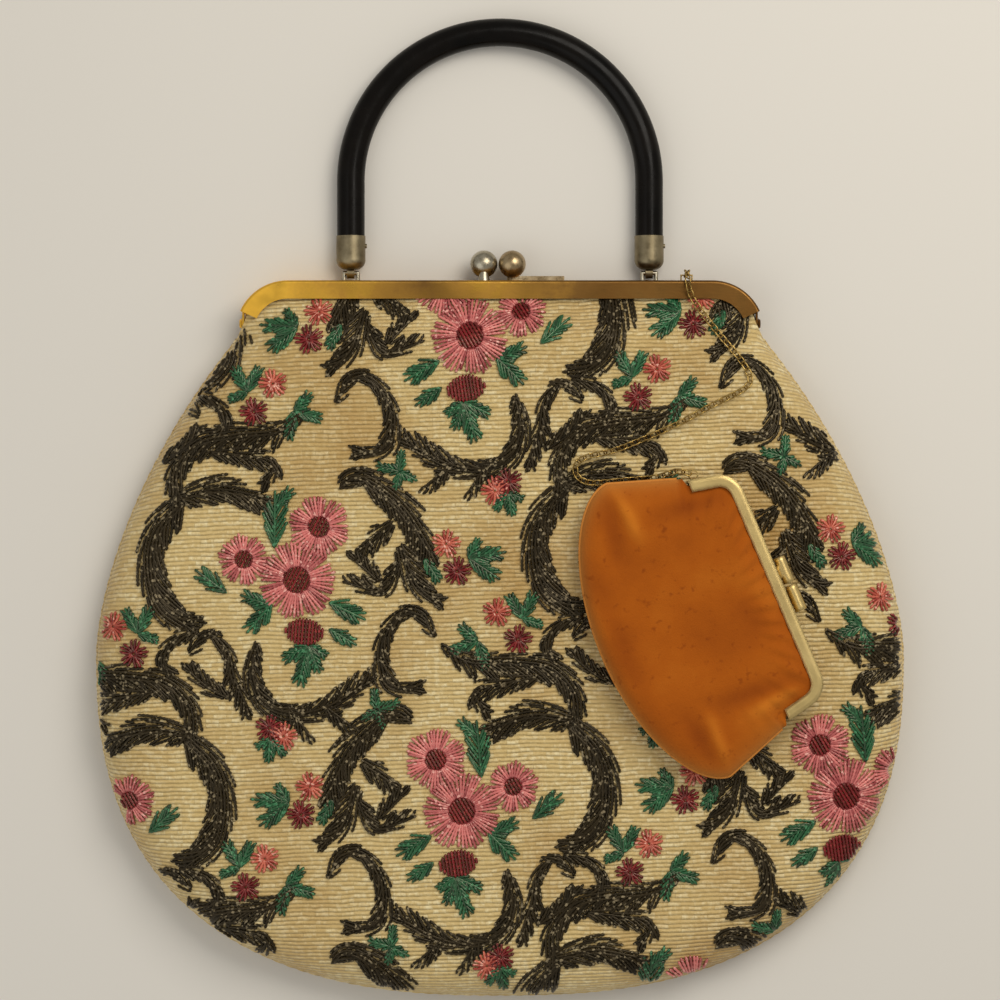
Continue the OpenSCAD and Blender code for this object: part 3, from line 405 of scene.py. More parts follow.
for finish, names in [
    (frameGold, ["back_frame", "front_frame", "frame_rivets"]),
    (agedNickel, ["left_ball", "handle_staples"]),
    (warmNickel, ["right_ball"]),
    (glossBlack, ["handle_tube"]),
    (ferruleBrass, ["left_ferrule", "right_ferrule", "ferrule_pins"]),
    (paperCord, ["back_channel_cord", "front_channel_cord"]),
    (chainGold, ["chain_staple"]),
    (purseGold, ["purse_back_frame", "purse_front_frame", "purse_rivets", "purse_back_barrel", "purse_front_barrel"]),
]:
    for name in names:
        slots = cadNodes[name].material_slots
        for spot in slots:
            spot.material = finish
        if not len(slots):
            cadNodes[name].data.materials.append(finish)
print("finishes made")


# the bag's outline and the rise of its panels
bag = dict(halfWidth=162.0, hipY=-59.7, hipRise=137.0, baseFull=2.5, shoulderFull=1.6, topY=90.3, tuck=3.0,
           frameHalf=106.0, cornerRound=21.0, shoulderX=107.0, shoulderY=65.1, margin=0.1605,
           splitZ=10.0, frontRise=17.0, backRise=10.0, gripRise=6.45)
clothLook = dict(soft=0.55, hollow=1.1, dent=0.35, gather=0.7, gatherStep=12.5, gatherY=74.0, gatherFade=11.0,
                 gatherHalf=108.0, calmRim=0.1)


def bagRim(count):
    # right half: level mouth, round corner, shoulder curve to the hip, fuller curve to the base; then its mirror image
    b = bag
    cornerX, cornerY = b["frameHalf"] - b["cornerRound"], b["topY"] - b["cornerRound"]
    r = b["cornerRound"] - b["tuck"]
    mouth = np.c_[np.linspace(0, cornerX, 40), np.full(40, b["topY"] - b["tuck"]), np.ones(40)]
    a = np.radians(np.linspace(88, 15, 30))
    corner = np.c_[cornerX + r * np.cos(a), cornerY + r * np.sin(a), np.ones(30)]
    full, drop = b["shoulderFull"], b["shoulderY"] - b["hipY"]
    rise = drop / (1 - (b["shoulderX"] / b["halfWidth"]) ** full) ** (1 / full)
    t = np.linspace(math.asin((drop / rise) ** (full / 2)), 0, 60)
    y = b["hipY"] + rise * np.sin(t) ** (2 / full)
    shoulder = np.c_[b["halfWidth"] * np.cos(t) ** (2 / full), y, np.zeros(60)]
    t, full = np.linspace(0, np.pi / 2, 240)[1:], b["baseFull"]
    y = b["hipY"] - b["hipRise"] * np.sin(t) ** (2 / full)
    base = np.c_[b["halfWidth"] * np.cos(t) ** (2 / full), y, np.zeros(239)]
    return mirroredRim(np.vstack([mouth, corner, shoulder, base]), count)


def profile(grip, share):
    # share goes from 0 at the rim to 1 at the margin's end: a quarter round from a seam, a double bend from the frame
    run = grip * share + (1 - grip) * (1 - np.cos(np.pi / 2 * share))
    rise = grip * (1 - np.cos(np.pi * share)) / 2 + (1 - grip) * np.sin(np.pi / 2 * share)
    return run, rise


rimLine = bagRim(1600)
rimAngle = np.arctan2(rimLine[:, 0], rimLine[:, 1] - bag["hipY"])  # from the mouth, clockwise
rimOrder = np.argsort(rimAngle)
rimReach = np.hypot(rimLine[:, 0], rimLine[:, 1] - bag["hipY"])


def rimShare(x, y):
    # how far out a point lies, 0 in the middle and 1 on the rim, and the grip of the rim there
    angle = np.arctan2(x, y - bag["hipY"])
    reach = np.interp(angle, rimAngle[rimOrder], rimReach[rimOrder], period=2 * np.pi)
    grip = np.interp(angle, rimAngle[rimOrder], rimLine[rimOrder, 2], period=2 * np.pi)
    return np.hypot(x, y - bag["hipY"]) / reach, grip


def softness(x, y, out):
    # gentle hollows over the cloth and short gathers below the frame, none at the rim
    look = clothLook
    hollow = ripple(x, y, 4, 90) * look["hollow"] + ripple(x, y, 9, 34) * look["dent"]
    gather = np.sin(x * 2 * np.pi / look["gatherStep"] + 2.2 * ripple(x, y, 6, 60))
    gather = gather * np.exp(-np.abs(y - look["gatherY"]) / look["gatherFade"]) * (np.abs(x) < look["gatherHalf"])
    return look["soft"] * (hollow + look["gather"] * gather) * np.clip((1 - out) / look["calmRim"], 0, 1)


def frontHeight(x, y):
    # height of the front cloth above the table: undo the margin's run by halving, then take its rise
    b = bag
    out, grip = rimShare(x, y)
    want = np.clip((1 - out) / b["margin"], 0, 1)
    low, high = np.zeros_like(want), np.ones_like(want)
    for _ in range(22):
        share = (low + high) / 2
        over = profile(grip, share)[0] > want
        low, high = np.where(over, low, share), np.where(over, share, high)
    foot = grip * b["gripRise"]
    climb = profile(grip, (low + high) / 2)[1]
    return b["splitZ"] + foot + (b["frontRise"] - foot) * climb + softness(x, y, out)


def bagShell(name, material, rise, up, inset=0.0, drop=0.0, around=480, rings=(22, 40), soft=True):
    # rings drawn in from the rim over the margin, then to the middle of the panel
    b = bag
    k = 1 - inset / b["halfWidth"]
    rim = bagRim(around)
    rimX, rimY, grip = rim[:, 0] * k, b["hipY"] + (rim[:, 1] - b["hipY"]) * k, rim[:, 2]
    share, inner = ringWalk(*rings, 1.15, 0.004)
    run, climb = profile(grip[None], share)
    size = (1 - b["margin"] * run) * inner
    x, y = rimX * size, b["hipY"] + (rimY - b["hipY"]) * size
    foot = grip * (b["gripRise"] - drop)
    z = foot + (rise - drop - foot) * climb
    if soft:
        z = z + softness(x, y, rimShare(x, y)[0])
    grid = np.stack([x, y, b["splitZ"] + up * z], -1)
    points, faces = closedRings(grid, b["hipY"], up)
    # laid flat, each point keeps its distance along the cloth from the middle
    steps = np.linalg.norm(np.diff(grid, axis=0), axis=2)
    across = grid[:, :, :2] - [0, b["hipY"]]
    reach = np.linalg.norm(across, axis=2)
    walk = np.vstack([np.cumsum(steps[::-1], 0)[::-1], np.zeros((1, around))]) + reach[-1]
    flat = [0, b["hipY"]] + across * (walk / reach)[:, :, None]
    flat = np.vstack([flat.reshape(-1, 2), points[-1:, :2]])
    return putMesh(name, points, faces, material, {"flatX": flat[:, 0], "flatY": flat[:, 1]})


frontCloth = bagShell("frontCloth", ground, bag["frontRise"], 1)
backCloth = bagShell("backCloth", ground, bag["backRise"], -1, around=360, rings=(16, 16), soft=False)
liningLook = dict(inset=8.0, drop=1.9, around=240, rings=(12, 14), soft=False)
frontLining = bagShell("frontLining", liningWeave, bag["frontRise"], 1, **liningLook)
backLining = bagShell("backLining", liningWeave, bag["backRise"], -1, **liningLook)
print("cloth shells made")

# seam round the bag where its panels meet
seamLook = dict(radius=0.95, sides=8, stitch=5.2, drawnIn=0.28, inset=0.9985)


def sweep(line, radius, sides, closed=False):
    # a round section carried along a line; radius may differ from point to point
    ahead = unit(np.roll(line, -1, 0) - np.roll(line, 1, 0) if closed else np.gradient(line, axis=0))
    side = unit(np.cross([0, 0, 1.0], ahead))
    lift = np.cross(ahead, side)
    a = np.arange(sides) * 2 * np.pi / sides
    radius = np.broadcast_to(np.asarray(radius, float).reshape(-1, 1, 1), (len(line), 1, 1))
    around = side[:, None] * np.cos(a)[None, :, None] + lift[:, None] * np.sin(a)[None, :, None]
    rings = line[:, None] + radius * around
    quads = gridFaces(len(line), sides, True, True)
    if closed:
        first, last = np.arange(sides), np.arange(sides) + (len(line) - 1) * sides
        join = np.stack([last, first, np.roll(first, -1), np.roll(last, -1)], 1)
        return rings.reshape(-1, 3), [quads, join]
    ends = np.stack([np.arange(sides), np.arange(sides)[::-1] + (len(line) - 1) * sides])
    return rings.reshape(-1, 3), [quads, ends]


seamRim = bagRim(1400)
seamLine = np.c_[seamRim[:, :2] * seamLook["inset"], np.full(len(seamRim), bag["splitZ"])]
seamLine = openAtGap(seamLine[seamRim[:, 2] < 0.3])
seamStep = lineLength(seamLine) / len(seamLine)
beat = np.abs(np.sin(np.arange(len(seamLine)) * seamStep * np.pi / seamLook["stitch"]))
seamRadius = seamLook["radius"] * (1 - seamLook["drawnIn"] + seamLook["drawnIn"] * beat)
seamPoints, seamFaces = sweep(seamLine, seamRadius, seamLook["sides"])
seam = putMesh("sideSeam", seamPoints, seamFaces, ground, {"flatX": seamPoints[:, 0], "flatY": seamPoints[:, 1]})

# bead strands: one repeat of the pattern about its largest flower, as drawn in the bottom row
strandLook = dict(thick=1.45, pitch=1.5, bead=1.6, sides=5, neck=0.66, end=0.4, sunk=0.45, heap=0.6,
                  leaflet=3.4, fuller=1.1, gap=1.32, step=0.8, innerShare=0.3, outerShare=0.45)
flowerLook = dict(large=14.0, spread=0.86, shorter=0.07, heartEdge=0.9)
flowers = [(0, 0, 15.5, 5.6), (-9.6, 20.8, 12.4, 4.4), (20.8, 9, 10.2, 3.7)]
buds = [(-2.4, -20.8, 7.6, 4.4)]
smallFlowers = [
    (7.6, -62, "coral"), (13, -58.6, "red"), (-60, 12, "coral"), (-64, 1, "red"), (74, -16, "coral"),
    (66, -27, "red"),
]
leaves = [  # foot, tip, half width
    ((-3.6, -26.2), (-11, -31), 2.0), ((-3.6, -26.2), (-7.8, -37.6), 2.1), ((-3.6, -26.2), (1.2, -42.4), 2.1),
    ((-3.6, -26.2), (7.2, -31.8), 2.0), ((-12, -20), (-23, -27), 2.4), ((-12.4, -9.4), (-26.9, -17), 3.2),
    ((11, -9.8), (22.8, -5), 2.4), ((10.2, -9), (20.8, -20.4), 2.6), ((28, -4.2), (40.4, 5.8), 3.0),
    ((8.4, 13), (7.2, 36), 3.4), ((7.6, 29.4), (-0.4, 36.6), 2.0), ((13, -63), (7, -70), 2.0),
    ((13, -63), (19, -66), 2.0), ((13, -63), (14, -72.6), 2.0), ((-68.5, 6), (-73.6, 14), 1.8),
    ((-68.5, 6), (-84, 8), 2.0), ((-68.5, 6), (-81, -3), 2.0), ((-51, 6.6), (-57, -3.4), 1.8),
    ((64, -19), (58, -8), 2.0), ((64, -19), (69, -8.6), 2.0), ((64, -19), (55.6, -22), 1.8),
    ((82, -27), (89.6, -20), 2.0), ((82, -27), (93.6, -31), 2.0), ((82, -27), (79, -39), 2.0),
    ((-30, -53), (-29, -44), 1.6), ((-30, -53), (-39.6, -50), 1.8), ((-30, -53), (-23, -57), 1.7),
    ((-30, -53), (-32, -61), 1.7),
]
plumes = [  # spine, half widths along it
    ([(-18, 36), (-25, 40), (-36, 33.5), (-45, 24), (-54, 8)], (3.0, 5.6, 5.2, 5.6, 2.0)),
    ([(-40, 21), (-34, 17), (-27, 12)], (3.0, 4.2, 1.2)),
    ([(-42, 13), (-47, -3), (-55, -11)], (3.4, 4.6, 1.4)),
    ([(-41, 6.5), (-35.5, -5), (-28, -4), (-17.5, -0.4)], (2.0, 2.2, 2.2, 1.0)),
    ([(-34, -2.5), (-23, 8)], (2.4, 1.2)),
    ([(-54, -25), (-49, -16), (-41, -16), (-34, -24.5), (-32.6, -34), (-35.5, -43), (-45.7, -45.7)],
     (1.6, 2.8, 2.8, 3.0, 3.9, 3.8, 1.4)),
    ([(16.7, -23.7), (19, -36), (15, -48), (3.7, -53), (-10, -51), (-25.7, -42.5)], (1.8, 4.6, 3.6, 3.8, 4.8, 2.0)),
    ([(6, -50), (-2.8, -63)], (2.4, 0.9)),
    ([(-9, -51), (-20, -60)], (2.4, 0.9)),
    ([(44.5, -28.6), (37, -20.4), (29, -27), (26.5, -38), (21.6, -51)], (1.4, 2.7, 2.7, 2.8, 1.4)),
    ([(28, -46.5), (37, -41), (44.5, -34)], (2.0, 3.2, 1.2)),
    ([(-6, 66.7), (5.5, 59.5), (22.6, 58), (37, 55), (46, 45), (47, 34.5)], (1.2, 4.8, 5.6, 5.0, 4.6, 3.6)),
    ([(33, 52), (20, 50), (8, 47), (10.5, 39)], (2.0, 3.2, 3.0, 1.4)),
    ([(47, 34), (30, 36.7), (12, 33)], (3.4, 6.2, 1.6)),
    ([(44, 33), (54.5, 21), (57.6, 7.5), (54.5, -8), (44, -17)], (4.2, 7.2, 7.6, 7.0, 2.2)),
    ([(39, -19), (49, -21.6), (55, -28.5), (53, -34)], (1.6, 2.7, 2.6, 1.2)),
]
dice = np.random.default_rng(11)


def bowedStrands(foot, ahead, side, length, reach, wide):
    # strands of one leaflet: they leave its foot, bow apart, lean outwards and meet at its tip
    t = np.linspace(0, 1, 7)
    middle = foot + ahead * (length * (1.2 * t - 0.2 * t ** 2))[:, None] + side * (reach * t ** 1.35)[:, None]
    lean = ahead * length + side * reach
    across = np.array([-lean[1], lean[0]]) / np.linalg.norm(lean)
    made = []
    for o in np.linspace(-1, 1, max(2, int(round(2 * wide / 1.4)) + 1)):
        tail = 1 - 0.2 * abs(o) * dice.uniform(0.4, 1.6)
        at = np.stack([np.interp(t * tail, t, middle[:, k]) for k in range(2)], 1)
        bow = wide * o * np.sin(np.pi * np.clip(0.1 + 0.88 * t * tail, 0, 1)) ** 0.75
        lift = 0.1 + 0.85 * (1 - abs(o)) * np.sin(np.pi * np.clip(t + 0.1, 0, 1))
        made.append((at + across * bow[:, None], lift))
    return made


def plumeStrands(spine, widths):
    # an acanthus plume: long strands on the outer side of its bend, leaflets that peel off inwards and one at its end
    look = strandLook
    length = lineLength(smoothLine(spine, 80))
    line = smoothLine(spine, max(9, int(length / look["step"])))
    ahead = unit(np.gradient(line, axis=0))
    side = np.c_[-ahead[:, 1], ahead[:, 0]]
    wide = look["fuller"] * np.interp(np.linspace(0, 1, len(line)), np.linspace(0, 1, len(widths)), widths)
    bend = (ahead[:-1, 0] * ahead[1:, 1] - ahead[:-1, 1] * ahead[1:, 0]).sum()
    inner = side if bend >= 0 else -side
    made = []
    for off in np.arange(-look["innerShare"] * wide.max(), wide.max(), look["gap"]):
        share = off / wide
        inside = np.flatnonzero((share <= 1) & (share >= -look["innerShare"] - 0.01))
        if len(inside) < 6:
            continue
        a, stop = inside[0] + dice.integers(0, 4), inside[-1] + 1
        while a < stop - 3:  # near the outer edge a strand is laid in short lengths that drift outwards
            outer = off >= look["outerShare"] * wide[a]
            b = min(stop, a + dice.integers(11, 17)) if outer else stop
            drift = np.linspace(-0.5, 0.9, b - a)[:, None] if outer else 0.0
            part = (line[a:b] - inner[a:b] * (off + drift))[::2]
            if len(part) > 2:
                made.append((part, 0.15 + 0.6 * np.clip(1 - np.abs(share[a:b:2]), 0, 1)))
            a = b - 2 if b < stop else stop
    at = 1
    while at < len(line) - 3:
        reach = wide[at] * dice.uniform(1.1, 1.4) + 1.0
        made += bowedStrands(line[at], ahead[at], inner[at], 1.15 * reach + 2.6, reach * 0.98, 0.17 * reach + 0.5)
        at += int((look["leaflet"] + 0.55 * wide[at]) / look["step"])
    foot = line[-1] - ahead[-1] * 1.5
    made += bowedStrands(foot, ahead[-1], side[-1], 1.6 * wide[-1] + 3.5, 0.2, 0.3 * wide[-1] + 0.7)
    return made


def flowerStrands(x, y, reach, heart):
    # rays about the heart, gathered into petals: in a petal they spread less than spokes do, the middle ones longest
    look = flowerLook
    petals = 7 if reach > look["large"] else 6
    count = int(2 * np.pi * 0.8 * reach / strandLook["pitch"])
    part, ring = 2 * np.pi / petals, heart * look["heartEdge"]
    made = []
    for k in range(count):
        a = 2 * np.pi * (k + 0.2 * dice.uniform(-1, 1)) / count
        middle = (np.floor(a / part) + 0.5) * part
        turn = x + middle + look["spread"] * (a - middle)  # each flower is turned by its own x
        shorter = 1 - look["shorter"] * (2 * (a - middle) / part) ** 2
        r = np.linspace(0, reach * shorter * (1 + 0.05 * dice.uniform(-1, 1)) - ring, 7)
        ray = np.c_[x + ring * np.cos(x + a) + r * np.cos(turn), y + ring * np.sin(x + a) + r * np.sin(turn)]
        made.append((ray, 0.9 * np.sin(np.linspace(0.35, np.pi, 7)) + 0.1))
    return made


def heartStrands(x, y, wide, tall, turn):
    # straight rows side by side, cut to an oval
    rows = np.arange(-wide + 0.6, wide, strandLook["pitch"] * 0.88)
    made = []
    for o in rows:
        half = tall * math.sqrt(max(0.05, 1 - (o / wide) ** 2)) * (1 + 0.06 * dice.uniform(-1, 1))
        t = np.linspace(-half, half, 6)
        px, py = o * np.cos(turn) - t * np.sin(turn), o * np.sin(turn) + t * np.cos(turn)
        made.append((np.c_[x + px, y + py], np.full(6, 0.7)))
    return made


def leafStrands(foot, tip, wide):
    # a cut leaf: a midrib, and pairs of short strands that leave it at a slant and end in points
    foot, tip = np.array(foot, float), np.array(tip, float)
    length = np.linalg.norm(tip - foot)
    ahead = (tip - foot) / length
    side = np.array([-ahead[1], ahead[0]])
    t = np.linspace(0, 1, 6)[:, None]
    made = [(foot + (tip - foot) * t, 0.2 + 0.5 * np.sin(np.pi * t[:, 0]))]
    barb = 0.34 * length + 0.5 * wide
    for start in np.arange(0.02, 0.7, max(0.1, 1.9 / length)):
        for hand in (-1, 1):
            turn = math.radians(dice.uniform(27, 37))
            lean = ahead * math.cos(turn) + side * hand * math.sin(turn)
            far = barb * (1 - 0.35 * start) * dice.uniform(0.85, 1.12)
            line = foot + ahead * (length * start) + lean * far * t + ahead * (0.12 * far * t ** 2)
            made.append((line, 0.1 + 0.45 * np.sin(np.pi * t[:, 0])))
    return made


def smallFlowerStrands(x, y, reach=6.2):
    # five petals of three short rays each
    made = []
    for k in range(5):
        for o in (-0.24, 0, 0.24):
            a = 2 * np.pi * k / 5 + 0.5 + o
            r = np.linspace(0.4, reach * (1.0 if o == 0 else 0.92), 5)
            bend = o * 0.7 * np.sin(np.pi * r / reach)
            made.append((np.c_[x + r * np.cos(a + bend), y + r * np.sin(a + bend)], np.full(5, 0.35)))
    return made


def oneRepeat():
    made = {key: [] for key in finishes}
    for spine, widths in plumes:
        made["black"] += plumeStrands(spine, widths)
    for x, y, reach, heart in flowers:
        made["pink"] += flowerStrands(x, y, reach, heart)
        made["red"] += heartStrands(x, y, heart, heart, 0.5)
    for x, y, wide, tall in buds:
        made["red"] += heartStrands(x, y, wide, tall * 1.25, 0.12)
    for foot, tip, wide in leaves:
        made["green"] += leafStrands(foot, tip, wide)
    for x, y, color in smallFlowers:
        made[color] += smallFlowerStrands(x, y)
    return made


repeatPlan = dict(wide=153.0, high=189.0, tilt=math.radians(2.2), shift=1.6, x=-12.0, drop=22.2, halfDrop=0.44,
                  rimCut=0.992, topCut=84.5, stump=3.6, company=7.0, others=4)
repeats = []  # middle of the largest flower, and -1 where the repeat is turned over
for row in range(4):
    for col in range(-1, 2 + row % 2):
        x = (col - repeatPlan["halfDrop"] * (row % 2)) * repeatPlan["wide"]
        x = repeatPlan["x"] - row * repeatPlan["shift"] + x
        y = bag["topY"] - repeatPlan["drop"] - row * repeatPlan["high"] / 2 + x * math.tan(repeatPlan["tilt"])
        repeats.append((x, y, 1 - 2 * (row % 2)))


def layStrands(color):
    # every repeat's strands on the bag, cut where they leave the cloth; a stump left by the cut is dropped
    plan, strands = repeatPlan, oneRepeat()[color]
    c, s = math.cos(plan["tilt"]), math.sin(plan["tilt"])
    laid = []
    for x, y, hand in repeats:
        for line, lift in strands:
            px, py = line[:, 0] * hand, line[:, 1]
            qx, qy = x + px * c - py * s, y + px * s + py * c
            keep = (rimShare(qx, qy)[0] < plan["rimCut"]) & (qy < plan["topCut"])
            if keep.sum() < 2:
                continue
            runs = np.flatnonzero(np.diff(np.r_[0, keep.astype(int), 0])).reshape(-1, 2)
            a, b = runs[np.argmax(runs[:, 1] - runs[:, 0])]
            rest = np.c_[qx, qy][a:b]
            if b - a == len(line) or (b - a >= 2 and lineLength(rest) > plan["stump"]):
                laid.append((rest, lift[a:b]))
    # a strand that the cut left with too few others near it is dropped too
    middle = np.array([line.mean(0) for line, _ in laid])
    near = (np.hypot(*(middle[:, None] - middle[None]).transpose(2, 0, 1)) < plan["company"]).sum(1)
    return [strand for strand, count in zip(laid, near) if count > plan["others"]]


def beadPiece(name, laid, material):
    # a tube along each strand, full at each bead and drawn in between beads, pressed on the cloth
    look = strandLook
    radius, rings, lifts, waist, tintAndRaisedLight, ids = look["thick"] / 2, [], [], [], [], []
    for k, (line, lift) in enumerate(laid):
        count = max(5, int(lineLength(line) / (look["bead"] / 2)) | 1)
        rings.append(evenLine(line, count))
        lifts.append(np.interp(np.linspace(0, 1, count), np.linspace(0, 1, len(lift)), lift))
        full = np.where(np.arange(count) % 2 == 1, 1.0, look["neck"])
        full[[0, -1]] = look["end"]
        waist.append(full)
        # painted light: a strand's colour is paler where it rises off the cloth, on top of its random tone
        tintAndRaisedLight.append(0.8 * dice.uniform() + 0.3 * lifts[-1])
        ids.append(np.full(count, k))
    flat, ids = np.vstack(rings), np.concatenate(ids)
    lifts, waist, tintAndRaisedLight = np.concatenate(lifts), np.concatenate(waist), np.concatenate(tintAndRaisedLight)
    x, y = flat.T
    step = 0.4
    z = frontHeight(x, y)
    slopeX = (frontHeight(x + step, y) - frontHeight(x - step, y)) / (2 * step)
    slopeY = (frontHeight(x, y + step) - frontHeight(x, y - step)) / (2 * step)
    steep = np.maximum(np.hypot(slopeX, slopeY) / 3.0, 1.0)
    up = unit(np.stack([-slopeX / steep, -slopeY / steep, np.ones(len(x))], 1))
    middle = np.c_[flat, z] + up * (radius * look["sunk"] + look["heap"] * lifts)[:, None]
    same = ids[1:] == ids[:-1]
    ahead = np.zeros_like(middle)
    gap = np.where(same[:, None], middle[1:] - middle[:-1], 0)
    ahead[:-1] += gap
    ahead[1:] += gap
    side = unit(np.cross(up, unit(ahead)))
    n = look["sides"]
    a = 2 * np.pi * np.arange(n) / n
    around = side[:, None] * np.cos(a)[None, :, None] + up[:, None] * np.sin(a)[None, :, None]
    points = middle[:, None] + around * (radius * waist)[:, None, None]
    first = np.flatnonzero(same)[:, None] * n
    j = np.arange(n)[None]
    after = (j + 1) % n
    quads = np.stack([first + j, first + after, first + n + after, first + n + j], -1).reshape(-1, 4)
    starts = np.flatnonzero(np.r_[True, ~same]) * n
    stops = np.flatnonzero(np.r_[~same, True]) * n
    caps = np.vstack([(starts[:, None] + j)[:, ::-1], stops[:, None] + j])
    return putMesh(name, points.reshape(-1, 3), [quads, caps], material, {"tintAndRaisedLight": np.repeat(tintAndRaisedLight, n)})


beadNodes = dict(black="scrollwork", pink="pink_flowers", red="dark_red_beads", coral="coral_flowers",
                 green="leaf_sprigs")
beadPieces = []
for color, nodeName in beadNodes.items():
    laid = layStrands(color)
    parts = [laid]
    if color == "black":  # the scrolls are laid in three bands, top to bottom
        high = np.digitize([line[:, 1].mean() for line, _ in laid], (-95, -5))
        parts = [[s for s, h in zip(laid, high) if h == band] for band in (2, 1, 0)]
    for k, part in enumerate(parts):
        piece = beadPiece(color + "Strands" + (str(k + 1) if len(parts) > 1 else ""), part, finishes[color])
        beadPieces.append((piece, nodeName))
        triangles = sum(len(p.vertices) - 2 for p in piece.data.polygons)
        print(color, "beads:", len(part), "strands,", triangles, "triangles")


# coin purse, in its own frame: hinge line on x, mouth up y
purse = dict(x=91.5, y=-38.5, z=36.6, turn=math.radians(-67.0), halfWidth=62.5, cornerDrop=27.0, drop=55.0,
             frameHigh=21.5, cornerRound=10.0, legTurn=78.0, hingeX=52.0, legX=39.33, rise=8.0, gripRise=3.55,
             margin=15.0 / 62.5, mid=-21.6, seam=0.75)
# tone: how strongly each crease paints light on its ridge and shade in its furrow
creaseLook = dict(pucker=0.55, puckerStep=8.2, puckerIn=8.0, puckerFade=9.0, hollow=0.9, dent=0.3, tone=0.26, lines=[
    # from, to, height, width
    (-60, -25.5, -37, -23.5, 1.5, 2.8), (-57, -29, -33, -34.5, -1.3, 4.5), (-40, 13, -44, -18, -1.1, 4.5),
    (41, 12, 42.5, -10, 1.4, 3.0), (37, 11, 34, -22, -1.2, 4.0), (58, -26.5, 36, -26, 1.4, 2.8),
    (57, -30.5, 34, -34, -0.9, 4.0), (-32, -46, 27, -46, -0.8, 4.5), (-6, 3, 18, 6, -0.6, 5.5),
    (-4, 14, 12, 15, 0.6, 4.0)])


def onPurse(points):
    c, s = math.cos(purse["turn"]), math.sin(purse["turn"])
    x, y, z = np.moveaxis(points, -1, 0)
    return np.stack([purse["x"] + x * c - y * s, purse["y"] + x * s + y * c, purse["z"] + z], -1)


def purseRim(count):
    # right half: level mouth, round corner, leg to the hinge, out to the corner, full curve; then its mirror image
    p = purse
    r, cy = p["cornerRound"] - 2, p["frameHigh"] - p["cornerRound"]
    a = np.radians(np.linspace(88, 90 - p["legTurn"], 12))
    mouth = np.c_[np.linspace(0, p["legX"], 20), np.full(20, p["frameHigh"] - 2), np.ones(20)]
    corner = np.c_[p["legX"] + r * np.cos(a), cy + r * np.sin(a), np.ones(12)]
    h = p["hingeX"]
    foot = evenLine(np.array([(h - 3.2, 3.6, 1), (h - 2.8, 2.1, 1), (h + 0.9, 1, 1), (h + 1.5, -1, 0),
                              (p["halfWidth"], -p["cornerDrop"], 0)]), 60)
    t = np.radians(np.linspace(2, 90, 80))
    y = -p["cornerDrop"] - (p["drop"] - p["cornerDrop"]) * np.sin(t) ** 1.1
    curve = np.c_[p["halfWidth"] * np.cos(t), y, np.zeros(80)]
    return mirroredRim(np.vstack([mouth, corner, foot, curve]), count)


def purseShell(name, up, around=360, rings=(20, 26)):
    # the same rings as the bag's panels, with folds that fan out from the frame, soft hollows and creases
    p, look = purse, creaseLook
    rim = purseRim(around)
    grip = rim[:, 2]
    share, inner = ringWalk(*rings, 1.1, 0.01)
    run, climb = profile(grip[None], share)
    size = (1 - p["margin"] * run) * inner
    x, y = rim[:, 0] * size, p["mid"] + (rim[:, 1] - p["mid"]) * size
    foot = grip * p["gripRise"]
    z = foot + (p["rise"] - foot) * climb
    walk = np.arange(around) * lineLength(np.vstack([rim, rim[:1]])[:, :2]) / around
    depth = (1 - size) * 60.0
    nearFrame = np.convolve(np.r_[grip[-20:], grip, grip[:20]], np.ones(41) / 41, "valid")
    folds = np.cos(walk * 2 * np.pi / look["puckerStep"] + 1.5 * np.sin(walk / 13))
    folds = folds * np.exp(-((depth - look["puckerIn"]) / look["puckerFade"]) ** 2) * nearFrame
    hollow = ripple(x, y, 21 + up, 46)
    # painted light and shade: paler where the soft hollows rise, then lighter on crease ridges and darker in furrows
    dip, foldShading = look["hollow"] * hollow + look["dent"] * ripple(x, y, 31, 18), 0.5 + 0.12 * hollow
    for x0, y0, x1, y1, high, wide in look["lines"]:  # ridges and furrows along short lines, fading at their ends; each also paints light on its ridge and shade in its furrow
        dx, dy = x1 - x0, y1 - y0
        along = np.clip(((x - x0) * dx + (y - y0) * dy) / (dx ** 2 + dy ** 2), -0.2, 1.2)
        off = np.hypot(x - x0 - along * dx, y - y0 - along * dy)
        crease = high * np.exp(-(off / wide) ** 2) * np.sin(np.pi * np.clip(0.12 + 0.76 * along, 0, 1))
        dip, foldShading = dip + crease, foldShading + look["tone"] * crease
    slack = 0.25 if up < 0 else 1.0  # the back lies pressed on the bag
    z = z + np.clip((1 - size) / 0.12, 0, 1) * slack * (look["pucker"] * folds + dip * 0.8)
    z = z - (1 - np.clip(inner, 0, 1)) * 0.6 * slack
    points, faces = closedRings(np.stack([x, y, up * z], -1), p["mid"], up)
    edge = np.r_[(np.exp(-depth / 2.2) * (1 - grip) * 0.8).reshape(-1), 0.0]
    foldShading = np.r_[np.clip(foldShading, 0, 1).reshape(-1), 0.5]
    return putMesh(name, onPurse(points), faces, suede, {"edge": edge, "foldShading": foldShading})


purseFront = purseShell("purseFront", 1)
purseBack = purseShell("purseBack", -1)
purseSeamRim = purseRim(700)
purseSeamLine = np.c_[purseSeamRim[:, :2], np.zeros(len(purseSeamRim))]
points, faces = sweep(openAtGap(purseSeamLine[purseSeamRim[:, 2] < 0.2]), purse["seam"], 8)
seamValues = {"edge": np.ones(len(points)), "foldShading": np.full(len(points), 0.5)}
purseSeam = putMesh("purseSeam", onPurse(points), faces, suede, seamValues)
print("purse made")

# chain from the frame to the purse
chain = dict(wire=0.6, pitch=2.8, width=3.2, play=0.28, x=75.0, top=90.3, split=10.0, face=19.55, beads=28.3, clear=0.3,
             loopTurn=math.radians(50), loopY=6.0, loopOut=1.8, loopRadius=1.3, loopZ=-2.5)


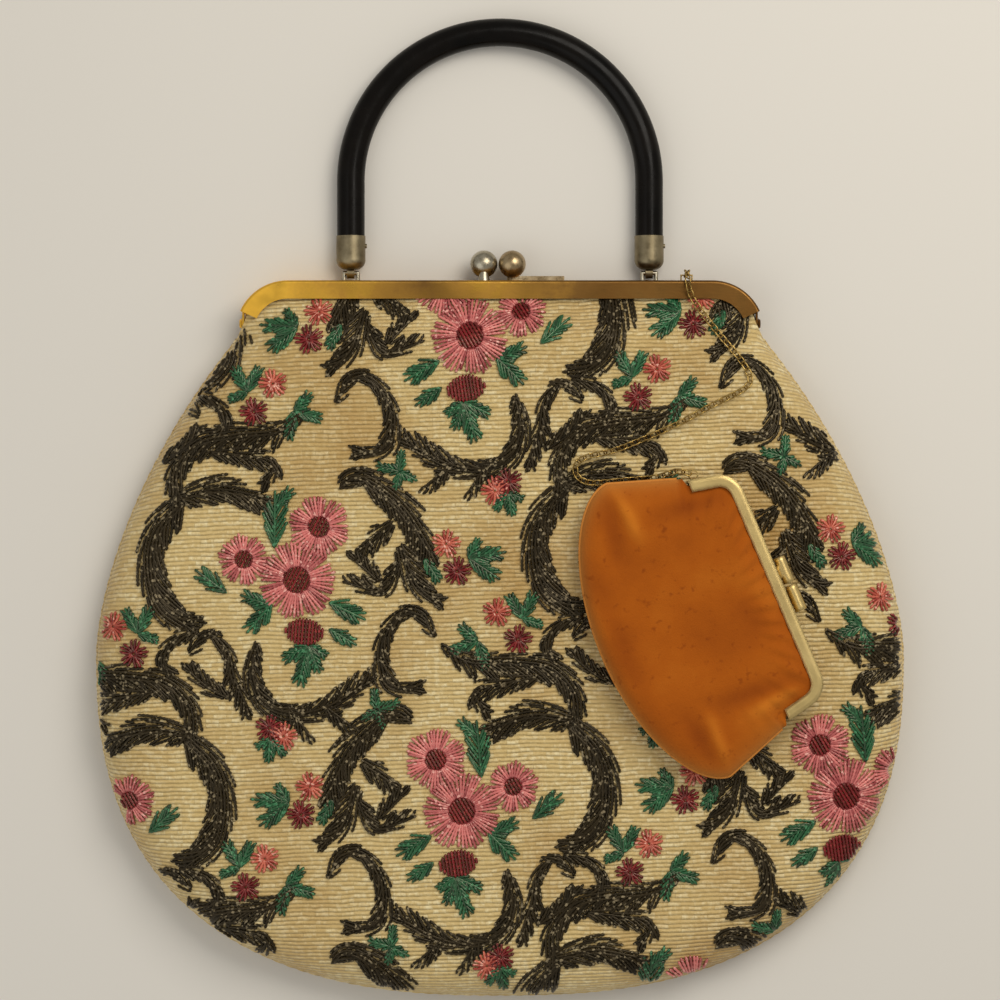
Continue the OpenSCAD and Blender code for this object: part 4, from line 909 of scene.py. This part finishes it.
def chainLine():
    # from the staple over the frame's face, down and across the beads to the loop on the purse's leg
    x, y, s, f = chain["x"], chain["top"], chain["split"], chain["face"]
    lay = chain["beads"] + chain["width"] / 2 * 0.71 + chain["wire"] * 0.3 + chain["clear"]
    leg = purse["hingeX"] - chain["loopY"] / math.tan(math.radians(purse["legTurn"])) + chain["loopOut"]
    r, a = chain["loopRadius"], chain["loopTurn"]
    loop = onPurse(np.array([-leg - r * math.cos(a), chain["loopY"] - r * math.sin(a), chain["loopZ"]]))
    return np.array([
        (x, y + 2.4, s + 1.45), (x, y + 3.3, s + 5.4), (x, y + 3, f - 0.5), (x, y + 0.6, f + 2.6),
        (x + 0.6, y - 4, f + 2.8), (x + 3.4, y - 10, f + 3.2), (x + 12, y - 21.5, lay - 3.7),
        (x + 20.4, y - 31.5, lay - 3.4), (x + 24.4, y - 38.5, lay - 2.3), (x + 22.5, y - 43.5, lay - 1),
        (x + 8, y - 51, lay - 0.1), (x - 6, y - 58.5, lay), (x - 26, y - 67, lay), (x - 34, y - 69.4, lay),
        (x - 40, y - 70.7, lay), (x - 43.8, y - 72.6, lay), (x - 45.3, y - 76, lay), (x - 43.6, y - 79.4, lay),
        (x - 39.6, y - 81.1, lay), (x - 34, y - 81, lay), (x - 26, y - 80.2, lay), (x - 13, y - 79, lay),
        (loop[0] - 5, loop[1] + 1.2, (lay + 4 * loop[2]) / 5), tuple(loop)])


def chainLinks():
    # a round wire bent to an oval, set along the line with each link turned a quarter from the last
    c = chain
    line = smoothLine(chainLine(), 2400)
    count = int(lineLength(line) / c["pitch"])
    at = np.linspace(0, len(line) - 1, count + 1)
    knots = np.stack([np.interp(at, np.arange(len(line)), line[:, k]) for k in range(3)], 1)
    ahead = unit(np.diff(knots, axis=0))
    side = unit(np.cross([0, 0, 1.0], ahead))
    lift = np.cross(ahead, side)
    roll = np.radians(np.where(np.arange(count) % 2 == 0, 45, -45))[:, None]
    wide = side * np.cos(roll) + lift * np.sin(roll)
    deep = np.cross(ahead, wide)
    bend = c["width"] / 2 - c["wire"] / 2
    straight = c["pitch"] / 2 + c["wire"] + c["play"] - c["width"] / 2
    a = np.radians(np.r_[np.linspace(-90, 90, 8), np.linspace(90, 270, 8)])
    oval = np.c_[bend * np.cos(a) + np.where(np.arange(16) < 8, straight, -straight), bend * np.sin(a), np.zeros(16)]
    ring, ringFaces = sweep(oval, c["wire"] / 2, 6, True)
    basis = np.stack([ahead, wide, deep], 1)
    middle = (knots[1:] + knots[:-1]) / 2
    points = middle[:, None] + ring @ basis
    faces = [(f[None] + (np.arange(count) * len(ring))[:, None, None]).reshape(-1, 4) for f in ringFaces]
    return points.reshape(-1, 3), faces, count


points, faces, linkCount = chainLinks()
chainPiece = putMesh("purseChain", points, faces, chainGold)
print("chain made of", linkCount, "links")

# what each piece stands for and moves with
for piece, nodeName in [
    (frontCloth, "front_panel"), (backCloth, "back_panel"), (frontLining, "front_lining"), (backLining, "back_lining"),
    (purseFront, "purse_front_panel"), (purseBack, "purse_back_panel"), (chainPiece, "purse_chain"), *beadPieces,
]:
    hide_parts(nodeName)
for piece in [frontCloth, frontLining, chainPiece] + [p for p, _ in beadPieces]:
    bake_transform(piece)
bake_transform(purseFront)
for piece in [backCloth, backLining, seam, purseBack, purseSeam]:
    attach(piece, "bag")

# floor, light and camera
floorLook = dict(color=(0.72, 0.69, 0.63), rough=0.6, half=4000.0, z=-0.05)
reach = floorLook["half"]
floorCorners = [(x * reach, y * reach, floorLook["z"]) for x, y in ((-1, -1), (1, -1), (1, 1), (-1, 1))]
floorFinish = startFinish("paleFloor", floorLook["color"], floorLook["rough"])[0]
floor = putMesh("paleFloor", floorCorners, [np.array([[0, 1, 2, 3]])], floorFinish)
floor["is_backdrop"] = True

lighting = dict(sky=0.42, key=7.5, keyAt=(0.45, 0.55, 0.95), keySize=0.7, fill=2.2, fillAt=(-0.7, -0.3, 0.9),
                fillSize=1.0, aim=(0, -0.03, 0.02))
world = bpy.data.worlds.new("studio")
bpy.context.scene.world = world
world.use_nodes = True
world.node_tree.nodes["Background"].inputs["Color"].default_value = (1.0, 0.97, 0.92, 1)
world.node_tree.nodes["Background"].inputs["Strength"].default_value = lighting["sky"]


def softLamp(name, at, power, size, color=(1, 1, 1)):
    lamp = bpy.data.lights.new(name, "AREA")
    lamp.energy, lamp.size, lamp.color = power, size, color
    holder = bpy.data.objects.new(name, lamp)
    holder.location = at
    x, y, z = np.array(lighting["aim"]) - np.array(at)
    holder.rotation_mode = "XYZ"
    holder.rotation_euler = (math.atan2(math.hypot(x, y), -z), 0, math.atan2(-x, y))
    bpy.context.scene.collection.objects.link(holder)


softLamp("keyLamp", lighting["keyAt"], lighting["key"], lighting["keySize"], (1.0, 0.95, 0.87))
softLamp("fillLamp", lighting["fillAt"], lighting["fill"], lighting["fillSize"])

view = dict(lens=135.0, sensor=36.0, span=0.400, middle=(0.0, 0.0023), focus=0.02)
cameraData = bpy.data.cameras.new("camera")
cameraData.lens, cameraData.sensor_width = view["lens"], view["sensor"]
camera = bpy.data.objects.new("camera", cameraData)
camera.location = (*view["middle"], view["focus"] + view["span"] * view["lens"] / view["sensor"])
bpy.context.scene.collection.objects.link(camera)
bpy.context.scene.camera = camera
bpy.context.scene.view_settings.view_transform = "Standard"

low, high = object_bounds()
boxes = [[round(v / mm, 1) for v in (*a, *b)] for a, b in ((low, high), (cadLow, cadHigh))]
print("box", boxes[0], "in place of", boxes[1])
